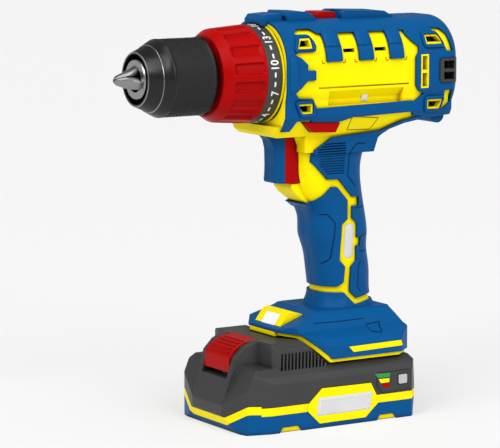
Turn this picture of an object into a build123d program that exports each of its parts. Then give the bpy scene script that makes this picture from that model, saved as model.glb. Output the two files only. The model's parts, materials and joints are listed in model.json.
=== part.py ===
from build123d import *
import math
import os

# Cordless drill driver, in millimetres.
# +X runs forwards out of the chuck, +Y is the tool's left side, +Z is up.
# The origin is the centre of the battery's flat base.

os.makedirs("parts", exist_ok=True)

# ---------------------------------------------------------------- driving dimensions
SPINDLE_Z = 193.5          # height of the spindle axis above the battery base
FIT = 0.05                 # radial running clearance of shafts and gears on their pins
GAP = 0.3                  # clearance between moving covers

# motor housing
BARREL_FRONT_X = 23.9
BARREL_REAR_X = -90.0
BARREL_WIDTH = 57.0
BARREL_HEIGHT = 56.0
BARREL_CORNER = 22.0
BARREL_MID_Z = 193.0
REAR_ROUND = 7.0
WALL = 2.6
SKIN = 1.5                 # thickness of the soft blue overmould

# chuck
CHUCK_REAR_X = 61.0
KNURL_REAR_X = 63.3
KNURL_FRONT_X = 88.0
CHUCK_R = 21.3
CHUCK_FRONT_X = 101.4
CHUCK_FRONT_R = 14.7
NOSE_R = 10.4
JAW_BORE_R = 6.9
JAW_TIP_X = 114.2
JAW_TILT = 17.0            # angle of each jaw to the spindle axis
JAW_R = 3.4
JAW_LENGTH = 30.0
JAW_COUNT = 3

# torque collar
COLLAR_REAR_X = 34.1
COLLAR_FRONT_X = 59.4
COLLAR_R = 26.9
COLLAR_INNER_R = 23.4
COLLAR_RECESSES = 16
SCALE_REAR_X = 25.4
SCALE_R = 27.0

# planetary gears
MODULE = 0.8
PRESSURE = math.radians(20)
SUN_TEETH = 12
PLANET_TEETH = 15
RING_TEETH = 42
PLANET_COUNT = 3
BACKLASH = 0.12
ADDENDUM = 0.68
DEDENDUM = 0.82
PLANET_ORBIT = MODULE * (SUN_TEETH + PLANET_TEETH) / 2
PLANET_PIN_R = 1.5
STAGE_ONE_X = -27.0        # rear face of the first stage's gears
STAGE_TWO_X = -7.4         # rear face of the second stage's gears
GEAR_WIDTH = 6.4
RING_OUTER_R = 20.7
CASE_R = 23.0
NOSE_TUBE_R = 15.0
FLANGE_R = 25.6
SPINDLE_R = 6.0

# battery
PACK_WALL = 2.2
PACK_SEAM_Z = 10.0
BAND_HEIGHT = 4.5
PACK_TOP_Z = 35.0
CELL_R = 9.1
CELL_LENGTH = 65.0
CELL_PITCH = 19.0
CELL_COUNT = 5

SPINDLE_AXIS = Axis((0, 0, SPINDLE_Z), (1, 0, 0))
TURNING_PLANE = Plane(origin=(0, 0, SPINDLE_Z), x_dir=(1, 0, 0), z_dir=(0, -1, 0))


# ---------------------------------------------------------------- shared shapes
def spindle_plane(x):
    """Cross-section plane of the motor housing: local x is +Y, local y is up from the axis."""
    return Plane(origin=(x, 0, SPINDLE_Z), x_dir=(0, 1, 0), z_dir=(1, 0, 0))


def outline(plane, points, grow=0.0):
    """Closed face through the points on a plane, made larger or smaller all round by grow."""
    with BuildSketch(plane) as face:
        with BuildLine():
            Polyline(*points, close=True)
        make_face()
        if grow:
            offset(amount=grow, kind=Kind.INTERSECTION)
    return face.sketch


def both_sides(half_points):
    """Mirrors a list of (width, height) points so that it closes across the middle."""
    return half_points + [(-width, height) for width, height in reversed(half_points)]


def side_prism(points, inner_y, outer_y, grow=0.0):
    """Side-view outline (x, z) as a solid between two distances on the left side."""
    with BuildPart() as prism:
        extrude(outline(Plane.XZ.offset(-outer_y), points, grow), amount=outer_y - inner_y)
    return prism.part


def bar(low, high):
    """Block between two corners."""
    size = [b - a for a, b in zip(low, high)]
    with BuildPart() as block:
        with Locations(Location(low)):
            Box(*size, align=(Align.MIN, Align.MIN, Align.MIN))
    return block.part


def turned(points):
    """Solid of revolution about the spindle axis from (x, radius) points."""
    with BuildPart() as solid:
        revolve(outline(TURNING_PLANE, points), axis=SPINDLE_AXIS)
    return solid.part


def tube(rear_x, front_x, inner_r, outer_r):
    """Plain ring on the spindle axis."""
    return turned([(rear_x, inner_r), (rear_x, outer_r), (front_x, outer_r), (front_x, inner_r)])


def rod(rear_x, front_x, radius):
    """Plain round bar on the spindle axis."""
    with BuildPart() as solid:
        with BuildSketch(spindle_plane(rear_x)):
            Circle(radius)
        extrude(amount=front_x - rear_x)
    return solid.part


# ---------------------------------------------------------------- tool body form
NECK_SIDE = [(23.9, 186), (23.9, 165.7), (27.0, 165.7), (26.6, 161.5), (24.5, 159.4), (5.6, 159.4),
             (5.6, 150), (-38, 150), (-40.5, 157.0), (-47, 162.0), (-56, 165.2), (-66, 167.0), (-84, 168.8),
             (-84, 186)]
NECK_FRONT = both_sides([(27.4, 187), (27.2, 171), (24.6, 166.5), (18.6, 158), (18.6, 140)])
SHELF_SIDE = [(8.2, 132.0), (8.2, 129.6), (5.2, 126.0), (1.2, 123.0), (-5, 118.5), (-12, 118.5), (-12, 132)]
HANDLE_SECTIONS = [
    # height, front x, rear x, half width
    (57, -6.0, -49.0, 19.0),
    (62, -11.2, -46.0, 16.0),
    (67, -13.0, -44.4, 14.6),
    (74, -13.2, -43.8, 14.4),
    (86, -11.9, -42.8, 14.8),
    (102, -7.8, -41.6, 15.4),
    (118, -4.6, -39.0, 15.8),
    (130, 3.6, -36.6, 16.4),
    (140, 5.6, -35.8, 17.0),
    (150, 5.6, -37.8, 17.8),
    (168, 5.6, -42.0, 19.0),
]
HANDLE_CORNER = 12.0
FOOT_SIDE = [(-0.9, 35.5), (6.8, 42.8), (13.7, 48.6), (20.0, 49.4), (20.0, 51.6), (6.0, 56.5), (-2.0, 60.0),
             (-48.0, 60.0), (-54.5, 50.5), (-57.6, 44.0), (-57.0, 35.5)]
FOOT_FRONT = both_sides([(35.0, 35), (35.0, 44), (32.5, 47.2), (25.0, 50.6), (22.0, 56), (19.0, 60), (19.0, 75)])
FOOT_PLAN = [(20.0, 14), (11.0, 27), (0, 35), (-47, 35), (-54.5, 29), (-57.6, 18),
             (-57.6, -18), (-54.5, -29), (-47, -35), (0, -35), (11.0, -27), (20.0, -14)]


def barrel_form(grow):
    """Motor housing: a squarish tube with a rounded rear end."""
    with BuildPart() as barrel:
        with BuildSketch(Plane.YZ.offset(BARREL_REAR_X - grow)):
            with Locations((0, BARREL_MID_Z)):
                RectangleRounded(BARREL_WIDTH + 2 * grow, BARREL_HEIGHT + 2 * grow, BARREL_CORNER + grow)
        extrude(amount=BARREL_FRONT_X - BARREL_REAR_X + grow)
        fillet(barrel.edges().group_by(Axis.X)[0], REAR_ROUND + grow)
    return barrel.part


def neck_form(grow):
    """Lower part of the motor housing, narrowing down to the handle, with the chin in front."""
    with BuildPart() as neck:
        extrude(outline(Plane.YZ.offset(-95), NECK_FRONT, grow), amount=130)
        extrude(outline(Plane.XZ, NECK_SIDE, grow), amount=60, both=True, mode=Mode.INTERSECT)
        if grow:
            add(bar((BARREL_FRONT_X, -40, 165.7), (40, 40, 200)), mode=Mode.SUBTRACT)
    return neck.part


def handle_form(grow):
    """Pistol grip, lofted through rounded sections."""
    with BuildPart() as handle:
        for height, front, rear, half_width in HANDLE_SECTIONS:
            with BuildSketch(Plane.XY.offset(height)):
                with Locations(((front + rear) / 2, 0)):
                    RectangleRounded(front - rear + 2 * grow, 2 * (half_width + grow), HANDLE_CORNER + grow)
        loft()
    return handle.part


def grip_half_width(z):
    """Half width of the handle at a height, between the two nearest sections."""
    for low, high in zip(HANDLE_SECTIONS, HANDLE_SECTIONS[1:]):
        if low[0] <= z <= high[0]:
            share = (z - low[0]) / (high[0] - low[0])
            return low[3] + share * (high[3] - low[3])
    raise ValueError("the height is outside the handle")


def foot_form(grow):
    """Flared foot that carries the battery, cut from three directions."""
    with BuildPart() as foot:
        extrude(outline(Plane.XZ, FOOT_SIDE, grow), amount=60, both=True)
        extrude(outline(Plane.YZ.offset(-80), FOOT_FRONT, grow), amount=130, mode=Mode.INTERSECT)
        extrude(outline(Plane.XY.offset(20), FOOT_PLAN, grow), amount=80, mode=Mode.INTERSECT)
    return foot.part


def body_form(grow):
    """Whole tool body with every face moved outwards by grow."""
    with BuildPart() as body:
        add(barrel_form(grow))
        add(neck_form(grow))
        add(handle_form(grow))
        extrude(outline(Plane.XZ, SHELF_SIDE, grow), amount=9 + grow, both=True)
        add(foot_form(grow))
    return body.part


outer_form = body_form(0)
cavity_form = body_form(-WALL)
skin_form = body_form(SKIN)


# ---------------------------------------------------------------- casing
VENTS = [
    [(15.4, 209.0), (13.2, 212.4), (8.0, 212.4), (8.0, 209.0)],
    [(15.8, 177.2), (8.2, 177.2), (8.2, 173.6), (13.6, 173.6)],
    [(-13.6, 205.0), (-21.0, 205.0), (-21.0, 207.0), (-13.6, 207.0)],
    [(-34.2, 205.0), (-41.7, 205.0), (-41.7, 207.0), (-34.2, 207.0)],
    [(-64.8, 184.2), (-68.0, 184.2), (-68.0, 191.6), (-64.8, 191.6)],
    [(-64.8, 193.4), (-68.0, 193.4), (-68.0, 201.0), (-64.8, 201.0)],
    [(-69.0, 208.4), (-78.2, 208.4), (-76.2, 211.6), (-69.0, 211.6)],
    [(-69.6, 175.6), (-78.2, 175.6), (-76.2, 172.2), (-69.6, 172.2)],
]
FRAMED_VENTS = [0, 1, 4, 5, 6, 7]
VENT_FRAME = 1.0
STRAPS = [(-1.7, -11.8), (-23.0, -32.4), (-43.4, -52.6)]
STRAP_LOW_Z = 200.5
SPINE_Z = 215.6
FRONT_RING = [(23.9, 222), (23.9, 163.0), (19.0, 163.0), (16.5, 168.6), (5.0, 169.0), (4.2, 175.0),
              (7.0, 180.6), (16.0, 181.2), (18.6, 184.2), (14.8, 187.0), (10.8, 190.8), (5.6, 190.8),
              (5.6, 196.2), (10.8, 196.2), (10.8, 199.6), (14.8, 203.2), (18.6, 205.0), (16.4, 206.4),
              (5.6, 206.4), (4.0, 209.4), (5.6, 213.6), (14.0, 213.6), (17.5, 222)]
SPINE = [(23.9, 240), (23.9, 216), (15.6, 216), (12.2, 218.2), (4.0, 218.2), (0.8, SPINE_Z),
         (-56.0, SPINE_Z), (-56.0, 213.4), (-59.2, 209.4), (-63.6, 206.0), (-95, 206.0), (-95, 240)]
LEDGE = [(7.0, 175.2), (-59.0, 176.6), (-62.4, 173.2), (-61.6, 170.4), (-20.0, 169.2), (-12.0, 167.0),
         (7.0, 166.8)]
REAR_CAP = [(-63.0, 207.0), (-62.6, 203.4), (-60.6, 200.6), (-60.6, 185.0), (-62.8, 181.8), (-66.6, 180.4),
            (-60.4, 176.0), (-58.4, 172.0), (-60.4, 168.0), (-66.0, 167.4), (-66.0, 150), (-95, 150), (-95, 207)]
RIBBED_STRIPS = [[(-73.6, 216.2), (-80.4, 215.8), (-83.6, 212.4), (-85.6, 203.2), (-81.4, 203.4), (-78.6, 211.4)],
                 [(-80.5, 181.2), (-86.0, 181.6), (-84.6, 175.0), (-79.2, 170.6), (-77.8, 171.2), (-80.4, 176.0)]]
GRIP_FRONT = [(12, 119.6), (1.7, 119.6), (-3.5, 121.7), (-12.7, 129.9), (-16.3, 129.7), (-23.6, 121.9),
              (-23.8, 111.3), (-20.1, 108.2), (-19.6, 88), (-22.9, 84.6), (-22.3, 75.4), (-19, 73.2), (12, 73.2)]
GRIP_REAR = [(-11.2, 157.8), (-0.1, 151.3), (0.5, 144.7), (-9.7, 134.3), (-17.3, 134.1), (-26.7, 123.6),
             (-31.4, 123.6), (-31.4, 118.4), (-26.9, 118.4), (-26.8, 111.6), (-30.1, 108.6), (-30.2, 100.4),
             (-32.8, 100.4), (-32.8, 95.6), (-30.25, 95.6), (-30.3, 87.1), (-26.9, 84), (-26.3, 70.4),
             (-30.4, 66.2), (-38.8, 67.6), (-60, 67.9), (-60, 135), (-66.0, 150), (-66.0, 167.2), (-63.0, 167.2),
             (-54.0, 165.4), (-42.0, 160.2)]
FOOT_COVER = [(30, 69.8), (-22.5, 69.8), (-29.2, 62.8), (-38.8, 64.2), (-80, 64.6), (-80, 37.6), (-1.7, 37.4),
              (5.8, 44.6), (12.9, 50.4), (20.2, 51.2), (30, 51.2)]
TROUGH_FRONT = [(30, 184.2), (28.0, 184.2), (23.6, 179.6), (23.6, 176.2), (30, 176.2)]
TROUGH_SPAN = (-53.0, -4.0)
GROOVE_Z = 186.2
GROOVE_SPAN = (-56.5, 2.8)

# where the controls pass through the casing
TRIGGER_LOW = (-8.6, -10.0 - GAP, 132.3)
TRIGGER_HIGH = (40.0, 10.0 + GAP, 159.3)
LEVER_SIDE = [(12.2, 168.0), (-12.5, 166.4), (-9.6, 161.3), (4.6, 162.0)]
SELECTOR_FRONT_X = -9.3
SELECTOR_REAR_X = -21.9
SELECTOR_TRAVEL = 6.5
SELECTOR_HALF = 7.0
LED_SIDE = [(21.6, 48.8), (21.6, 51.0), (18.6, 53.0), (13.2, 60.2), (9.6, 61.4), (4.0, 59.8), (-3.0, 56.8),
            (-3.0, 51.0), (13.7, 48.8)]
LED_HALF = 13.0
RAIL_HALF = 22.0
RAIL_TOP_Z = 44.0
# fixing screw spots: (x, z, distance of the head's seat from the parting plane)
SCREWS = [(-29, 79, 12.0), (-24, 113, 13.0), (18.5, 163.2, 17.0), (-50, 50.2, 19.0), (-84.3, 173.6, 15.5),
          (-84, 215.0, 15.0)]
SCREW_R = 1.5
SCREW_HEAD_R = 2.8
SCREW_HEAD_HEIGHT = 1.8
PILOT_DEPTH = 9.0
BOSS_R = 3.4
CAN_R = 18.2
RIGHT_SIDE = ((-100, -60, 0), (60, 0, 260))
ARMOUR_BOSSES = [
    # side outline, half width
    ([(25.0, 217), (27.4, 219.4), (27.4, 223.0), (25.4, 225.6), (15.0, 226.2), (13.0, 219), (13.0, 217)], 9.0),
    ([(12.6, 217), (12.6, 225.0), (10.6, 227.2), (-1.6, 226.6), (-6.6, 223.0), (-6.6, 217)], 11.0),
    ([(-23.4, 217), (-23.4, 225.6), (-26.0, 226.6), (-52.0, 225.6), (-57.5, 222.6), (-57.5, 217)], 10.5),
]
REAR_BOSS_SIDE = (-79.6, 167.0)
REAR_BOSS_R = 4.4
REAR_BOSS_HALF = 23.5
TOP_SLOTS = [-59.5 - 4.2 * number for number in range(6)]
WINDOW_FRAME = [(-88.6, 185.8), (-77.6, 185.8), (-76.4, 187.2), (-76.4, 198.0), (-77.6, 199.4), (-88.6, 199.4)]
WINDOWS = [(187.4, 191.6), (193.4, 197.8)]
RIB_REAR_X = -20.4
RIB_LOW_Z = 137.2
RIB_PITCH = 1.4
RIB_WIDTH = 0.6
RIB_DEPTH = 0.45
RIB_COUNT = 13
RIB_MARGIN = 2.0



def rib_front_x(z):
    """Front end of a rib, a margin inside the slanting edges of the upper grip."""
    lower_edge = -9.7 + 0.98 * (z - 134.3)
    upper_edge = -0.1 - 1.71 * (z - 151.3)
    return min(lower_edge, upper_edge, 0.2) - RIB_MARGIN


print("making the casing")
with BuildPart() as vent_cut:
    for vent in VENTS:
        add(side_prism(vent, 12, 50))
with BuildPart() as frame_cut:
    for index in FRAMED_VENTS:
        add(side_prism(VENTS[index], 12, 50, VENT_FRAME))
with BuildPart() as control_cut:
    add(bar(TRIGGER_LOW, TRIGGER_HIGH))
    extrude(outline(Plane.XZ, LEVER_SIDE, GAP), amount=40, both=True)
    add(bar((SELECTOR_REAR_X - SELECTOR_TRAVEL - GAP, -SELECTOR_HALF - GAP, 212),
            (SELECTOR_FRONT_X + GAP, SELECTOR_HALF + GAP, 240)))
    extrude(outline(Plane.XZ, LED_SIDE), amount=LED_HALF, both=True)
    add(bar((-54, -RAIL_HALF - 1, 30), (40, RAIL_HALF + 1, RAIL_TOP_Z + 1.2)))
window_zone = side_prism(WINDOW_FRAME, 17, 50)

with BuildPart() as left_shell:
    add(outer_form)
    add(cavity_form, mode=Mode.SUBTRACT)
    with BuildSketch(spindle_plane(-72)):
        with Locations((0, BARREL_MID_Z - SPINDLE_Z)):
            RectangleRounded(BARREL_WIDTH - WALL, BARREL_HEIGHT - WALL, BARREL_CORNER - WALL / 2)
        Circle(CAN_R, mode=Mode.SUBTRACT)
    extrude(amount=2.4)
    add(bar((TROUGH_SPAN[0] - 2, 20.4, 174.4), (TROUGH_SPAN[1] + 2, 26.5, 186)))
    for x, z, seat in SCREWS:
        with BuildSketch(Plane.XZ):
            with Locations((x, z)):
                Circle(BOSS_R)
        extrude(amount=-30)
    add(outer_form, mode=Mode.INTERSECT)
    extrude(outline(Plane.YZ.offset(TROUGH_SPAN[0]), TROUGH_FRONT),
            amount=TROUGH_SPAN[1] - TROUGH_SPAN[0], mode=Mode.SUBTRACT)
    add(bar((GROOVE_SPAN[0], 27.9, GROOVE_Z - 0.35), (GROOVE_SPAN[1], 30, GROOVE_Z + 0.35)), mode=Mode.SUBTRACT)
    add(turned([(-31.4, 0), (-31.4, CASE_R), (18.0, CASE_R), (18.0, FLANGE_R), (40, FLANGE_R), (40, 0)]),
        mode=Mode.SUBTRACT)
    add(bar(*RIGHT_SIDE), mode=Mode.SUBTRACT)
    add(control_cut.part, mode=Mode.SUBTRACT)
    add(bar((-50, 19.6, 35.6), (-3, RAIL_HALF + 2, 39.0)))
    add(vent_cut.part, mode=Mode.SUBTRACT)
    add(window_zone, mode=Mode.SUBTRACT)

with BuildPart() as vent_rims:
    add(skin_form)
    add(frame_cut.part, mode=Mode.INTERSECT)
    add(outer_form, mode=Mode.SUBTRACT)
    add(vent_cut.part, mode=Mode.SUBTRACT)

with BuildPart() as housing_left:
    add(left_shell.part)
    add(vent_rims.part)
    for x, z, seat in SCREWS:
        with BuildSketch(Plane.XZ):
            with Locations((x, z)):
                Circle(SCREW_R)
        extrude(amount=-PILOT_DEPTH, mode=Mode.SUBTRACT)
housing_left.part.label = "housing_left"
export_step(housing_left.part, "parts/housing_left.step")

with BuildPart() as screw_holes:
    for x, z, seat in SCREWS:
        with BuildSketch(Plane.XZ):
            with Locations((x, z)):
                Circle(SCREW_R)
        extrude(amount=50)
        with BuildSketch(Plane.XZ.offset(seat)):
            with Locations((x, z)):
                Circle(SCREW_HEAD_R)
        extrude(amount=30)

with BuildPart() as housing_right:
    add(mirror(left_shell.part, about=Plane.XZ))
    add(mirror(vent_rims.part, about=Plane.XZ))
    add(screw_holes.part, mode=Mode.SUBTRACT)
housing_right.part.label = "housing_right"
export_step(housing_right.part, "parts/housing_right.step")

with BuildPart() as housing_screws:
    for x, z, seat in SCREWS:
        with BuildSketch(Plane.XZ.offset(-PILOT_DEPTH)):
            with Locations((x, z)):
                Circle(SCREW_R)
        extrude(amount=PILOT_DEPTH + seat)
        with BuildSketch(Plane.XZ.offset(seat)):
            with Locations((x, z)):
                Circle(SCREW_HEAD_R)
                Rectangle(3.4, 0.8, mode=Mode.SUBTRACT)
                Rectangle(0.8, 3.4, mode=Mode.SUBTRACT)
        extrude(amount=SCREW_HEAD_HEIGHT)
housing_screws.part.label = "housing_screws"
export_step(housing_screws.part, "parts/housing_screws.step")

with BuildPart() as left_window:
    add(barrel_form(SKIN + 0.7))
    add(window_zone, mode=Mode.INTERSECT)
    add(barrel_form(-WALL), mode=Mode.SUBTRACT)
    for low_z, high_z in WINDOWS:
        add(bar((-86.4, 10, low_z), (-79.0, 50, high_z)), mode=Mode.SUBTRACT)
with BuildPart() as vent_frames:
    add(left_window.part)
    mirror(about=Plane.XZ)
vent_frames.part.label = "vent_frames"
export_step(vent_frames.part, "parts/vent_frames.step")

# ---------------------------------------------------------------- soft overmould
print("making the overmould")
with BuildPart() as skin_shell:
    add(skin_form)
    add(outer_form, mode=Mode.SUBTRACT)
    add(bar(*RIGHT_SIDE), mode=Mode.SUBTRACT)
    add(control_cut.part, mode=Mode.SUBTRACT)

with BuildPart() as armour_mask:
    for region in (FRONT_RING, SPINE, LEDGE, REAR_CAP):
        add(side_prism(region, 0, 50))
    for front, rear in STRAPS:
        low, high = STRAP_LOW_Z, SPINE_Z + 1
        add(side_prism([(front, high), (front, low), (rear, low), (rear, high)], 0, 50))
    for strip in RIBBED_STRIPS:
        add(side_prism(strip, 0, 50), mode=Mode.SUBTRACT)
    add(bar((BARREL_FRONT_X, -1, 0), (60, 60, 260)), mode=Mode.SUBTRACT)

with BuildPart() as armour_left:
    add(skin_shell.part)
    add(armour_mask.part, mode=Mode.INTERSECT)
    for points, half_width in ARMOUR_BOSSES:
        add(side_prism(points, 0, half_width))
    with BuildSketch(Plane.XZ):
        with Locations(REAR_BOSS_SIDE):
            Circle(REAR_BOSS_R)
    extrude(amount=-REAR_BOSS_HALF)
    add(outer_form, mode=Mode.SUBTRACT)
    add(control_cut.part, mode=Mode.SUBTRACT)
    add(frame_cut.part, mode=Mode.SUBTRACT)
    add(window_zone, mode=Mode.SUBTRACT)
    add(turned([(24.6, 0), (24.6, SCALE_R + 0.6), (40, SCALE_R + 0.6), (40, 0)]), mode=Mode.SUBTRACT)
    for x in TOP_SLOTS:
        slot = [(x, 221.2), (x - 1.4, 221.2), (x - 3.4, 225), (x - 2.0, 225)]
        add(side_prism(slot, 3, 9), mode=Mode.SUBTRACT)

with BuildPart() as grip_mask:
    add(side_prism(GRIP_FRONT, 0, 50))
    add(side_prism(GRIP_REAR, 0, 50))
with BuildPart() as grip_left:
    add(skin_shell.part)
    add(grip_mask.part, mode=Mode.INTERSECT)
    for number in range(RIB_COUNT):
        z = RIB_LOW_Z + RIB_PITCH * number
        floor_y = grip_half_width(z) + SKIN - RIB_DEPTH
        add(bar((RIB_REAR_X, floor_y, z), (rib_front_x(z), 30, z + RIB_WIDTH)), mode=Mode.SUBTRACT)

with BuildPart() as foot_cover_left:
    add(skin_shell.part)
    add(side_prism(FOOT_COVER, 0, 50), mode=Mode.INTERSECT)

for name, left_piece in (("armour", armour_left), ("grip", grip_left), ("foot_cover", foot_cover_left)):
    left_piece.part.label = f"{name}_left"
    export_step(left_piece.part, f"parts/{name}_left.step")
    with BuildPart() as right_piece:
        add(mirror(left_piece.part, about=Plane.XZ))
        add(screw_holes.part, mode=Mode.SUBTRACT)
    right_piece.part.label = f"{name}_right"
    export_step(right_piece.part, f"parts/{name}_right.step")


# ---------------------------------------------------------------- chuck
print("making the chuck")


def jaw_line_r(x):
    """Distance of the jaws' centre lines from the spindle axis, with the chuck closed."""
    return (JAW_TIP_X - x) * math.tan(math.radians(JAW_TILT))


def jaw_outer_r(x):
    """Outer edge of the closed jaws."""
    return jaw_line_r(x) + JAW_R / math.cos(math.radians(JAW_TILT))


NUT_REAR_X = 76.0
NUT_FRONT_X = 83.0
SLEEVE_INNER_R = 19.4
BODY_R = 19.0
with BuildPart() as chuck_sleeve:
    add(turned([(CHUCK_REAR_X, 17.2), (CHUCK_REAR_X, 19.6), (KNURL_REAR_X, CHUCK_R), (KNURL_FRONT_X, CHUCK_R),
                (94.1, 18.2), (94.1, 17.8), (CHUCK_FRONT_X, CHUCK_FRONT_R), (CHUCK_FRONT_X, 13.6),
                (NUT_FRONT_X + 4.0, SLEEVE_INNER_R), (KNURL_REAR_X, SLEEVE_INNER_R), (KNURL_REAR_X, 17.2)]))
chuck_sleeve.part.label = "chuck_sleeve"
export_step(chuck_sleeve.part, "parts/chuck_sleeve.step")

with BuildPart() as jaw_nut:
    add(turned([(NUT_REAR_X, jaw_outer_r(NUT_REAR_X) + GAP), (NUT_REAR_X, SLEEVE_INNER_R),
                (NUT_FRONT_X, SLEEVE_INNER_R), (NUT_FRONT_X, jaw_outer_r(NUT_FRONT_X) + GAP)]))
jaw_nut.part.label = "jaw_nut"
export_step(jaw_nut.part, "parts/jaw_nut.step")

JAW_DIRECTION = (math.cos(math.radians(JAW_TILT)), 0, -math.sin(math.radians(JAW_TILT)))
JAW_TAIL_X = JAW_TIP_X - JAW_LENGTH * math.cos(math.radians(JAW_TILT))
JAW_HOLE_EXTRA = 21.4


def jaw_bar(radius, extra):
    """Round bar along the upper jaw's slanting line, made longer at the rear by extra."""
    tail_x = JAW_TAIL_X - extra * JAW_DIRECTION[0]
    start = Plane(origin=(tail_x, 0, SPINDLE_Z + jaw_line_r(tail_x)), x_dir=(0, 1, 0), z_dir=JAW_DIRECTION)
    with BuildPart() as round_bar:
        with BuildSketch(start):
            Circle(radius)
        extrude(amount=JAW_LENGTH + extra + 2)
    return round_bar.part


GROOVE_R = jaw_outer_r(NUT_FRONT_X) - 0.6
with BuildPart() as chuck_body:
    add(turned([(62.0, SPINDLE_R - 1), (62.0, 16.6), (64.0, 16.6), (64.0, BODY_R), (NUT_REAR_X - GAP, BODY_R),
                (NUT_REAR_X - GAP, GROOVE_R), (NUT_FRONT_X + GAP, GROOVE_R), (NUT_FRONT_X + GAP, 16.0),
                (96.0, 11.6), (100.9, NOSE_R + 0.5), (101.6, NOSE_R), (101.6, JAW_BORE_R),
                (68.0, JAW_BORE_R), (68.0, SPINDLE_R - 1)]))
    for turn in range(JAW_COUNT):
        hole = jaw_bar(JAW_R + FIT, JAW_HOLE_EXTRA).rotate(SPINDLE_AXIS, turn * 360 / JAW_COUNT)
        add(hole, mode=Mode.SUBTRACT)
chuck_body.part.label = "chuck_body"
export_step(chuck_body.part, "parts/chuck_body.step")

with BuildPart() as jaw_sector:
    with BuildSketch(spindle_plane(60)):
        with BuildLine():
            Polyline((0, 0.3), (-14, 8.383), (-14, 30), (14, 30), (14, 8.383), close=True)
        make_face()
    extrude(amount=70)
with BuildPart() as jaw_envelope:
    add(turned([(60, 0), (60, 30), (98, 30), (102, 6.8), (112.8, 2.6), (JAW_TIP_X, 1.3), (JAW_TIP_X, 0)]))
with BuildPart() as upper_jaw:
    add(jaw_bar(JAW_R, 0))
    add(jaw_sector.part, mode=Mode.INTERSECT)
    add(jaw_envelope.part, mode=Mode.INTERSECT)
for number in range(JAW_COUNT):
    with BuildPart() as jaw:
        add(upper_jaw.part.rotate(SPINDLE_AXIS, number * 360 / JAW_COUNT))
    jaw.part.label = f"jaw_{number + 1}"
    export_step(jaw.part, f"parts/jaw_{number + 1}.step")

with BuildPart() as chuck_screw:
    add(turned([(52.0, 0), (52.0, 2.0), (68.0, 2.0), (68.0, 4.4), (71.0, 4.4), (71.0, 0)]))
    with BuildSketch(spindle_plane(71.0)):
        Rectangle(6.4, 1.2)
        Rectangle(1.2, 6.4)
    extrude(amount=-1.6, mode=Mode.SUBTRACT)
chuck_screw.part.label = "chuck_screw"
export_step(chuck_screw.part, "parts/chuck_screw.step")

# ---------------------------------------------------------------- gears
print("making the gears")


def involute(angle):
    return math.tan(angle) - angle


def tooth_points(teeth, tip_r, root_r, play):
    """Outline of one tooth about local +Y, with involute flanks; play thins the tooth."""
    pitch_r = MODULE * teeth / 2
    base_r = pitch_r * math.cos(PRESSURE)
    half_tooth = (math.pi * MODULE / 2 - play) / 2 / pitch_r
    flank = []
    for radius in (max(base_r, root_r), pitch_r, (pitch_r + tip_r) / 2, tip_r):
        roll = math.acos(min(1.0, base_r / radius))
        angle = half_tooth + involute(PRESSURE) - involute(roll)
        flank.append((radius, angle))
    flank = [(root_r - 0.3, flank[0][1])] + flank
    right = [(radius * math.sin(angle), radius * math.cos(angle)) for radius, angle in flank]
    return right + [(-x, y) for x, y in reversed(right)]


def gear_face(teeth, plane, tip_r, root_r, play, start_angle=0.0):
    """Full outline of a spur gear with one tooth at the top."""
    points = tooth_points(teeth, tip_r, root_r, play)
    with BuildSketch(plane) as face:
        Circle(root_r)
        with PolarLocations(0, teeth, start_angle=start_angle):
            Polygon(*points, align=None)
    return face.sketch


def spur(teeth, rear_x, width, bore, centre_y=0.0, centre_z=0.0, turn=0.0):
    """Spur gear with its axis along X, centred at an offset from the spindle axis."""
    pitch_r = MODULE * teeth / 2
    across = (0, math.cos(math.radians(turn)), math.sin(math.radians(turn)))
    plane = Plane(origin=(rear_x, centre_y, SPINDLE_Z + centre_z), x_dir=across, z_dir=(1, 0, 0))
    with BuildPart() as gear:
        extrude(gear_face(teeth, plane, pitch_r + ADDENDUM, pitch_r - DEDENDUM, BACKLASH), amount=width)
        if bore:
            with BuildSketch(plane):
                Circle(bore)
            extrude(amount=width, mode=Mode.SUBTRACT)
    return gear.part


def ring_gear(rear_x, width, outer_r):
    """Internal gear, with a tooth space at the top."""
    pitch_r = MODULE * RING_TEETH / 2
    with BuildPart() as ring:
        with BuildSketch(spindle_plane(rear_x)):
            Circle(outer_r)
        extrude(amount=width)
        extrude(gear_face(RING_TEETH, spindle_plane(rear_x), pitch_r + 0.85, pitch_r - 0.6, -BACKLASH),
                amount=width, mode=Mode.SUBTRACT)
    return ring.part


def planet_angles():
    return [90 + turn * 360 / PLANET_COUNT for turn in range(PLANET_COUNT)]


def planet_pins(rear_x, front_x, radius):
    """Round pins on the planets' centres."""
    with BuildPart() as pins:
        with BuildSketch(spindle_plane(rear_x)):
            with PolarLocations(PLANET_ORBIT, PLANET_COUNT, start_angle=90):
                Circle(radius)
        extrude(amount=front_x - rear_x)
    return pins.part


for stage, rear_x in (("input", STAGE_ONE_X), ("output", STAGE_TWO_X)):
    for number, angle in enumerate(planet_angles(), start=1):
        away = math.radians(angle)
        with BuildPart() as planet:
            add(spur(PLANET_TEETH, rear_x + 0.2, GEAR_WIDTH - 0.4, PLANET_PIN_R + FIT,
                     PLANET_ORBIT * math.cos(away), PLANET_ORBIT * math.sin(away), angle - 90))
        planet.part.label = f"{stage}_planet_{number}"
        export_step(planet.part, f"parts/{stage}_planet_{number}.step")

with BuildPart() as fixed_ring_gear:
    add(ring_gear(STAGE_ONE_X, GEAR_WIDTH, RING_OUTER_R))
fixed_ring_gear.part.label = "fixed_ring_gear"
export_step(fixed_ring_gear.part, "parts/fixed_ring_gear.step")

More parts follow.
